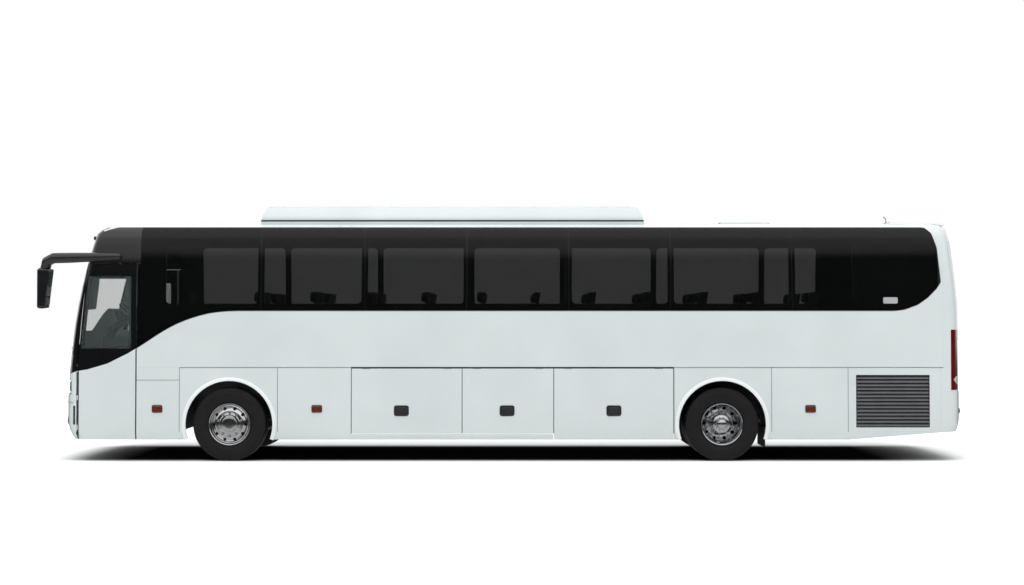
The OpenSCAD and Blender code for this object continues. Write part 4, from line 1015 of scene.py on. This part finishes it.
side_markers()
luggage_handles()
panel_seams()
arch_lips()
louvres()
band_line()


# ---- lamps, mirrors and the two ends ------------------------------------------------------
def headlamp_halves():
    """The headlamps' clear covers and the dark tubs behind them, each with a wall."""
    for name, is_cover, finish, wall in (("cover", True, LAMP_COVER, 0.0035), ("tub", False, BLACK_PLASTIC, 0.0025)):
        piece = smooth_copy("headlamps", finish, "headlamps_" + name, SLOT_OF[finish.name])
        edit(piece, "FACE")
        pick(piece, "FACE", lambda p: (p.normal.x < -0.2) != is_cover)
        bpy.ops.mesh.delete(type="FACE")
        done(piece)
        changed(piece, "SOLIDIFY", thickness=wall, offset=-1)


def headlamp_insides():
    bowl = ((0.08, -0.001), (0.079, 0.0), (0.074, 0.001), (0.066, 0.016), (0.05, 0.029), (0.03, 0.037),
            (0.0001, 0.04), (0.0001, 0.043), (0.032, 0.04), (0.053, 0.032), (0.07, 0.018), (0.08, 0.004))
    bulb = ((0.0001, 0.004), (0.01, 0.006), (0.017, 0.012), (0.02, 0.022), (0.02, 0.034), (0.0001, 0.036))
    for side_name, side in SIDES:
        bowls, bulbs = [], []
        for y, d, size, depth in ((0.835, 0.062, 1.0, 1.0), (1.01, 0.1, 0.95, 1.0), (1.14, 0.134, 0.62, 0.66)):
            spot = (at(d), side * y, 1.05)
            bowls.append(turned("bowl", [(r * size, a * depth) for r, a in bowl], spot, 40, "X"))
            bulbs.append(turned("bulb", [(r * size, a * depth * 0.9) for r, a in bulb], spot, 24, "X"))
        fit("headlamp_bowls_" + side_name, bowls, BRIGHT)
        fit("headlamp_bulbs_" + side_name, bulbs, PALE)


def rounded_outline(y0, y1, z0, z1, radius, steps=5):
    """Corner points of a rounded rectangle in y and z."""
    corners = ((y1 - radius, z1 - radius, 0), (y0 + radius, z1 - radius, 1),
               (y0 + radius, z0 + radius, 2), (y1 - radius, z0 + radius, 3))
    return [(cy + radius * math.cos((quarter_turn + i / steps) * math.pi / 2),
             cz + radius * math.sin((quarter_turn + i / steps) * math.pi / 2))
            for cy, cz, quarter_turn in corners for i in range(steps + 1)]


def mirror_glasses():
    """A tall glass and a small wide one let into the rear face of each mirror head."""
    for side_name, side in SIDES:
        glasses, frames = [], []
        y = side * 1.15
        for z0, z1 in ((2.345, 2.69), (2.215, 2.32)):
            for grow, thick, parts in ((0.006, 0.002, frames), (0.0, 0.0034, glasses)):
                outline = rounded_outline(y - 0.1 - grow, y + 0.1 + grow, z0 - grow, z1 + grow, 0.026)
                points = [Vector((at(-0.217 + 0.06 * (z - 2.175) / 0.56), y, z)) for y, z in outline]
                parts.append(sheet_of("glass", points, (thick + 0.002, 0, 0), 0.0006, 20))
                y = side * 1.15
        fit("mirror_glass_" + side_name, glasses, MIRROR)
        fit("mirror_bezel_" + side_name, frames, SEAM)


def patch(name, skin, across, heights, proud, thick, steps=10, soften=0.002):
    """A plate that follows the front or the rear face between two places across and through heights."""
    y0, y1 = across
    piece = drawn(name, [skin(y0 + (y1 - y0) * i / steps, heights[0], proud) for i in range(steps + 1)])
    whole()
    middle = (y0 + y1) / 2
    for low, high in zip(heights, heights[1:]):
        bpy.ops.mesh.extrude_region_move(TRANSFORM_OT_translate={
            "value": skin(middle, high, proud) - skin(middle, low, proud)})
    outwards()
    done(piece, 30)
    changed(piece, "SOLIDIFY", thickness=thick, offset=0)
    if soften:
        changed(piece, "BEVEL", width=soften, segments=2, limit_method="ANGLE", angle_limit=math.radians(50))
    return done(piece, 30)


def front_patch(name, *sizes):
    return patch(name, front_skin, *sizes)


def rear_patch(name, *sizes):
    return patch(name, rear_skin, *sizes)


def disc(name, spot, radius, thick, axis="X", toward=-1):
    """A round lens or cap with a domed face that looks along the axis."""
    t = toward * thick
    return turned(name, ((0.0001, 0.0), (radius, 0.0), (radius, t * 0.55), (radius - 0.004, t * 0.8),
                         (radius * 0.6, t * 0.95), (0.0001, t)), spot, 32, axis)


def bumper_front():
    """Number plate, intake with slats, fog lamps, upright slots at the corners, the joint across."""
    fit("front_plate_frame", slab("plate", (FRONT_X - 0.006, -0.27, 0.49), (FRONT_X + 0.01, 0.27, 0.62)),
        BLACK_PLASTIC)
    fit("front_plate_blank", slab("plate", (FRONT_X - 0.009, -0.26, 0.5), (FRONT_X - 0.004, 0.26, 0.61), 0.002),
        PALE)
    fit("bumper_intake", front_patch("intake", (-0.62, 0.62), (0.668, 0.86), 0.0145, 0.003, 24), GRILLE_PAINT)
    fit("bumper_intake_slats", [front_patch("slat", (-0.6, 0.6), (z, z + 0.014), 0.0195, 0.009, 24, 0.003)
                                for z in (0.69, 0.726, 0.762, 0.798, 0.834)], SLAT)
    fogs, rings = [], []
    ring = ((0.052, 0.012), (0.068, 0.016), (0.069, -0.002), (0.064, -0.008), (0.055, -0.009), (0.052, -0.004))
    for side_name, side in SIDES:
        spot = front_skin(side * 0.86, 0.56, 0.014)
        fogs.append(disc("fog", spot + Vector((0.01, 0, 0)), 0.052, 0.02))
        rings.append(turned("ring", ring, spot, 32, "X"))
        foot = [(at(d), side * y, 0.52) for d, y in ((0.206, 1.254), (0.236, 1.262), (0.236, 1.274), (0.206, 1.2672))]
        fit("bumper_corner_slot_" + side_name, sheet_of("slot", foot, (0, 0, 0.265), 0.003), BLACK_PLASTIC)
    fit("fog_lamps", fogs, PALE)
    fit("fog_lamp_rings", rings, BLACK_PLASTIC)
    fit("bumper_joint", front_patch("joint", (-1.262, 1.262), (0.832, 0.836), 0.0135, 0.003, 60, 0.0), SEAM)


def wipers():
    """Parked along the windscreen's lower edge."""
    arms, blades = [], []
    for pivot, start, end in ((-0.16, -1.0, -0.22), (0.8, 0.06, 0.9)):
        blades.append(tube("blade", [
            front_skin(start + (end - start) * i / 10, 1.6 + 0.012 * math.sin(i * math.pi / 10), 0.012)
            for i in range(11)], 0.007))
        arms.append(tube("arm", [front_skin(y, z, proud) for y, z, proud in (
            (pivot, 1.48, 0.02), (pivot, 1.49, 0.038), (pivot - 0.05, 1.51, 0.04),
            ((start + end) / 2, 1.6, 0.026))], 0.0085))
        arms.append(disc("cap", front_skin(pivot, 1.48) + Vector((0.004, 0, 0)), 0.028, 0.034))
    fit("wiper_arms", arms, BLACK_PLASTIC)
    fit("wiper_blades", blades, RUBBER, slot="black_plastic")


def roof_markers():
    """End outline lamps on the white cap."""
    spots = [front_skin(side * 0.92, 3.18) for _, side in SIDES]
    for name, low, high, soften, finish in (
            ("boxes", (-0.03, -0.05, -0.024), (0.05, 0.05, 0.03), 0.01, BLACK_PLASTIC),
            ("lenses", (-0.036, -0.04, -0.016), (-0.02, 0.04, 0.02), 0.006, ORANGE)):
        fit("roof_marker_" + name, [slab("marker", spot + Vector(low), spot + Vector(high), soften, 3)
                                    for spot in spots], finish)


def rear_trim():
    fit("rear_plate_frame", slab("plate", (REAR_X - 0.006, -0.27, 0.66), (REAR_X + 0.006, 0.27, 0.79)),
        BLACK_PLASTIC)
    fit("rear_plate_blank", slab("plate", (REAR_X + 0.003, -0.26, 0.67), (REAR_X + 0.009, 0.26, 0.78), 0.002), PALE)
    fit("rear_reflectors", [disc("reflector", rear_skin(side * 1.0, 0.7, 0.012), 0.04, 0.01, toward=1)
                            for _, side in SIDES], TAIL)
    fit("high_brake_lamp", rear_patch("lamp", (-0.28, 0.28), (3.165, 3.2), 0.004, 0.012), TAIL)
    vents, backs = [], []
    for _, side in SIDES:
        across = sorted((side * 0.16, side * 0.74))
        backs.append(rear_patch("back", across, (1.175, 1.565), 0.0015, 0.002, 10, 0.0))
        vents += [rear_patch("vent", across, (1.19 + 0.042 * i, 1.212 + 0.042 * i), 0.0065, 0.008, 10, 0.0025)
                  for i in range(9)]
    fit("engine_door_vents", vents, SLAT, body="engine_door")
    fit("engine_door_vent_backs", backs, GRILLE_PAINT, body="engine_door")
    fit("engine_door_handle", rear_patch("handle", (-0.11, 0.11), (1.085, 1.125), 0.01, 0.018, 8, 0.006),
        BLACK_PLASTIC, body="engine_door")
    rim = [rear_patch("rim", (-0.965, 0.965), (z, z + 0.016), 0.003, 0.006, 24) for z in (2.262, 3.124)]
    rim += [rear_patch("rim", (y, y + 0.016), (2.262, 2.5, 2.75, 3.0, 3.14), 0.003, 0.006, 2)
            for y in (-0.965, 0.949)]
    fit("rear_window_seal", rim, RUBBER, slot="black_plastic")


def roof_trim():
    """The cooler's fans, its lifting eyes, the rear deck, the aerial and the hatch seal."""
    rings, guards, wells = [], [], []
    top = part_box("roof_air_conditioner")[1].z
    ring = ((0.3, -0.03), (0.3, 0.0), (0.292, 0.0085), (0.27, 0.0085), (0.262, -0.002), (0.262, -0.03))
    for d in (3.95, 5.575, 7.2):
        spot = Vector((at(d), 0, top))
        rings.append(turned("ring", ring, spot, 64, "Z"))
        guards += [ring_plate("wire", (r - 0.003, r + 0.003), 0.0, 0.006, spot, "Z")
                   for r in (0.06, 0.1, 0.14, 0.18, 0.22)]
        for reach in (Vector((0.006, 0.265, 0.003)), Vector((0.265, 0.006, 0.003))):
            guards.append(slab("bar", spot - reach, spot + reach, 0.001))
        wells.append(ring_plate("well", (0.0001, 0.262), 0.001, 0.002, spot, "Z"))
    fit("cooler_fan_rings", rings, BLACK_PLASTIC)
    fit("cooler_fan_guards", guards, SLAT)
    fit("cooler_fan_wells", wells, SEAM)
    fit("cooler_lifting_eyes", [slab("eye", (at(d) - 0.03, -0.55, top - 0.03), (at(d) + 0.03, -0.51, top + 0.008), 0.005)
                                for d in (4.335, 4.66, 6.83)], PAINT_ALL)
    fit("roof_rear_deck", slab("deck", (at(11.96), -0.62, 3.4), (at(12.46), 0.62, 3.452), 0.014, 3), PAINT_ALL)
    whip = tube("whip", [(at(d), -0.7, z) for d, z in ((11.905, 3.395), (11.905, 3.45), (11.895, 3.485), (11.865, 3.51))],
                0.006)
    foot = disc("foot", (at(11.905), -0.7, 3.39), 0.024, 0.034, "Z", toward=1)
    fit("roof_aerial", [whip, foot], BLACK_PLASTIC)
    low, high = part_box("roof_hatch")
    lip = rounded_outline(-0.322, 0.322, low.x + 0.02, high.x + 0.014, 0.04)
    points = [Vector((x, y, 3.436)) for y, x in lip]
    fit("roof_hatch_seal", tube("seal", points + points[:1], 0.006), PAINT_ALL)


def door_seals():
    """Black rubber along the upright edges of the front doors."""
    foot = (0.316, 0.345, 0.375, 0.405, TUCK_TOP)
    for (side_name, side), body in zip(SIDES, ("driver_door", "entry_door")):
        fit("door_seal_" + side_name, [piece for d, top in ((0.2815, 1.283), (1.0945, 1.586))
                                       for piece in strip([(d, z) for z in (*foot, top)], side, 0.012)],
            SEAM, body=body)


headlamp_halves()
headlamp_insides()
smooth_copy("tail_lamps", TAIL)
mirror_glasses()
bumper_front()
wipers()
roof_markers()
rear_trim()
roof_trim()
door_seals()


# ---- seats and driver's place -------------------------------------------------------------
def pad(name, low, high, round_off, seams, crown):
    """A stuffed block: blown up a little as its filling does, with sewn channels pressed in."""
    low, high = Vector(low), Vector(high)
    piece = slab(name, low, high, round_off, 4)
    changed(piece, "REMESH", mode="VOXEL", voxel_size=0.011)
    swell(piece, crown)
    for axis, place in seams:
        for v in piece.data.vertices:
            gap = abs(v.co[axis] - place)
            if gap < 0.022:
                v.co += v.normal * -0.007 * (1 - gap / 0.022) ** 2
    changed(piece, "DECIMATE", ratio=0.16)
    return done(piece, 60)


def swell(piece, cap):
    """Cloth under pressure for twenty frames, with no weight, then held to a small movement."""
    rest = [v.co.copy() for v in piece.data.vertices]
    take(piece)
    cloth = piece.modifiers.new("cloth", "CLOTH")
    cloth.settings.use_pressure = True
    cloth.settings.uniform_pressure_force = 4.0
    cloth.settings.effector_weights.gravity = 0.0
    for frame_number in range(1, 21):
        bpy.context.scene.frame_set(frame_number)
    bpy.ops.object.modifier_apply(modifier=cloth.name)
    bpy.context.scene.frame_set(1)
    for v, start in zip(piece.data.vertices, rest):
        move = v.co - start
        if move.length > cap:
            v.co = start + move.normalized() * cap


def seat_parts():
    """One seat 0.44 m wide about y = 0, its start at x = 0: cushion, back, head pad and frame."""
    cushion = pad("cushion", (-0.01, -0.205, 1.68), (0.375, 0.205, 1.765), 0.03, ((1, -0.135), (1, 0.135)), 0.012)
    back = pad("back", (0.0, -0.205, 0.0), (0.07, 0.205, 0.47), 0.028, ((1, -0.13), (1, 0.13), (2, 0.235)), 0.01)
    head = pad("head", (-0.006, -0.15, 0.485), (0.064, 0.15, 0.63), 0.028, (), 0.01)
    lean = Matrix.Translation((0.402, 0, 1.79)) @ Matrix.Rotation(math.radians(9.3), 4, "Y")
    shell = slab("shell", (0.066, -0.21, -0.085), (0.094, 0.21, 0.64), 0.012, 3)
    for piece in (back, head, shell):
        piece.data.transform(lean)
    return (cushion, back, head), [shell, slab("tray", (0.0, -0.2, 1.652), (0.405, 0.2, 1.676), 0.006)]


SEAT_ROWS, ROW_PITCH, FIRST_ROW = 11, 0.8, 2.25
PAIR_Y, SEAT_PITCH = 0.6896, 0.47
DRIVER_Y = -0.72


def seats():
    """Eleven rows of pairs and the driver's seat."""
    soft, hard = seat_parts()
    legs = [slab("leg", (x, -0.445, 1.342), (x + 0.05, 0.445, 1.356), 0.004) for x in (0.005, 0.405)]
    legs += [slab("leg", (x, y - 0.02, 1.35), (x + 0.035, y + 0.02, 1.655), 0.005)
             for x, y in ((0.015, -0.42), (0.015, 0.42), (0.41, -0.42), (0.41, 0.42))]
    legs += [slab("arm", (0.08, y - 0.018, 1.9), (0.425, y + 0.018, 1.935), 0.012, 3) for y in (-0.455, 0.455)]
    pads, frames = ([], [], []), []

    def place_seat(x, y):
        place = Matrix.Translation((x, y, 0))
        for kind, part in zip(pads, soft):
            kind.append(again(part, "pad", place))
        frames.extend(again(part, "frame", place) for part in hard)

    for row in range(SEAT_ROWS):
        x = at(FIRST_ROW + ROW_PITCH * row)
        for _, side in SIDES:
            for k in (-1, 1):
                place_seat(x, side * PAIR_Y + k * SEAT_PITCH / 2)
            frames.extend(again(part, "frame", Matrix.Translation((x, side * PAIR_Y, 0))) for part in legs)
    place_seat(at(1.18), DRIVER_Y)
    frames.append(slab("column", (at(1.2), -0.86, 1.342), (at(1.56), -0.58, 1.655), 0.03, 3))
    for kind, parts in zip(("cushions", "backs", "head_pads"), pads):
        fit("seat_" + kind, parts, FABRIC, *(["seats"] if kind == "cushions" else []))
    fit("seat_frames", frames, BLACK_PLASTIC)
    for piece in (*soft, *hard, *legs):
        bpy.data.objects.remove(piece)


def steering_wheel():
    """Rim, three spokes and a padded boss on a column that leans to the driver."""
    grip = [(0.221 + 0.0135 * math.cos(t * math.pi / 6), 0.0135 * math.sin(t * math.pi / 6)) for t in range(12)]
    boss = ((0.0001, -0.03), (0.06, -0.03), (0.068, -0.01), (0.062, 0.006), (0.04, 0.013), (0.0001, 0.015))
    column = ((0.0001, -0.56), (0.034, -0.56), (0.04, -0.3), (0.036, -0.06), (0.03, -0.028), (0.0001, -0.028))
    parts = [turned("wheel", profile, steps=steps, axis="Z") for profile, steps in ((grip, 72), (boss, 40), (column, 28))]
    for turn in (90, 210, 330):
        spoke = slab("spoke", (0.05, -0.02, -0.012), (0.215, 0.02, -0.001), 0.005, 3)
        spoke.data.transform(Matrix.Rotation(math.radians(turn), 4, "Z"))
        parts.append(spoke)
    piece = joined("wheel", parts)
    piece.data.transform(Matrix.Translation((at(0.88), DRIVER_Y, 2.08)) @ Matrix.Rotation(math.radians(45), 4, "Y"))
    fit("steering_wheel_finished", piece, DASH, "steering_wheel")


seats()
steering_wheel()


# ---- floor, light and camera --------------------------------------------------------------
def stage_floor():
    deselect()
    bpy.ops.mesh.primitive_plane_add(size=240, location=(0, 0, 0))
    floor = started("studio_floor")
    f = Finish("studio_floor_white_painted_shadow", (0.86, 0.865, 0.87), 0.65, Specular_IOR_Level=0.0)
    point, x, y, z = f.place()
    pale = f.mix(f.noise(0.4, 2.0), (0.86, 0.865, 0.87), (0.88, 0.885, 0.89))
    # Painted shadow: a soft near-black patch on the floor under the coach's footprint stands in for the shadow that the
    # coach casts.
    shade = (1.16 - abs(y)).above(0.0, 0.4) * (6.05 - abs(x - 0.05)).above(0.0, 1.3)
    f.set("Base Color", f.mix(shade, pale, (0.02, 0.02, 0.02)))
    dressed(floor, f.material)
    done(floor, 0)
    floor.visible_glossy = False


# The sky's brightness from straight below, 0, to straight above, 1.
DOME = ((0.0, 0.5), (0.4, 0.42), (0.46, 0.03), (0.59, 0.03), (0.606, 0.58), (0.8, 1.0))


def studio_sky():
    """White for the camera and behind the coach, and a dome that is dark at eye level in its gloss."""
    world = bpy.data.worlds.new("studio_sky")
    bpy.context.scene.world = world
    world.use_nodes = True
    tree = world.node_tree
    ray = node_of(tree, "TexCoord")
    behind, height = [node_of(tree, "SeparateXYZ", inputs={0: ray}, out=i) for i in (1, 2)]
    dome = node_of(tree, "ValToRGB", inputs={0: height * 0.5 + 0.5}, stops=DOME)
    white = (behind.above(0.55, 0.3) * height.above(-0.02, 0.02) * 0.85).most(node_of(tree, "LightPath"))
    feed(tree, tree.nodes["Background"].inputs[0],
         node_of(tree, "Mix", {"data_type": "RGBA"}, {0: white, 6: dome, 7: (1, 1, 1)}, out=2))


def overhead_light():
    """A soft light from far away that doesn't show in the gloss."""
    light = bpy.data.lights.new("overhead_light", "SUN")
    light.energy = 2.48
    light.angle = math.radians(50)
    piece = bpy.data.objects.new("overhead_light", light)
    bpy.context.scene.collection.objects.link(piece)
    piece.rotation_euler = Vector((0.1, 0.32, -1.0)).to_track_quat("-Z", "Y").to_euler()
    piece.visible_glossy = False


stage_floor()
studio_sky()
overhead_light()

scene = bpy.context.scene
scene.view_settings.view_transform = "Standard"
camera = bpy.data.cameras.new("studio_camera")
camera.sensor_width = 36.0
camera.lens = 49.8
camera.clip_end = 400
eye = bpy.data.objects.new("studio_camera", camera)
scene.collection.objects.link(eye)
eye.location = (0.145, -21.4, 2.0)
eye.rotation_euler = (math.radians(90 + 1.12), 0, 0)
scene.camera = eye
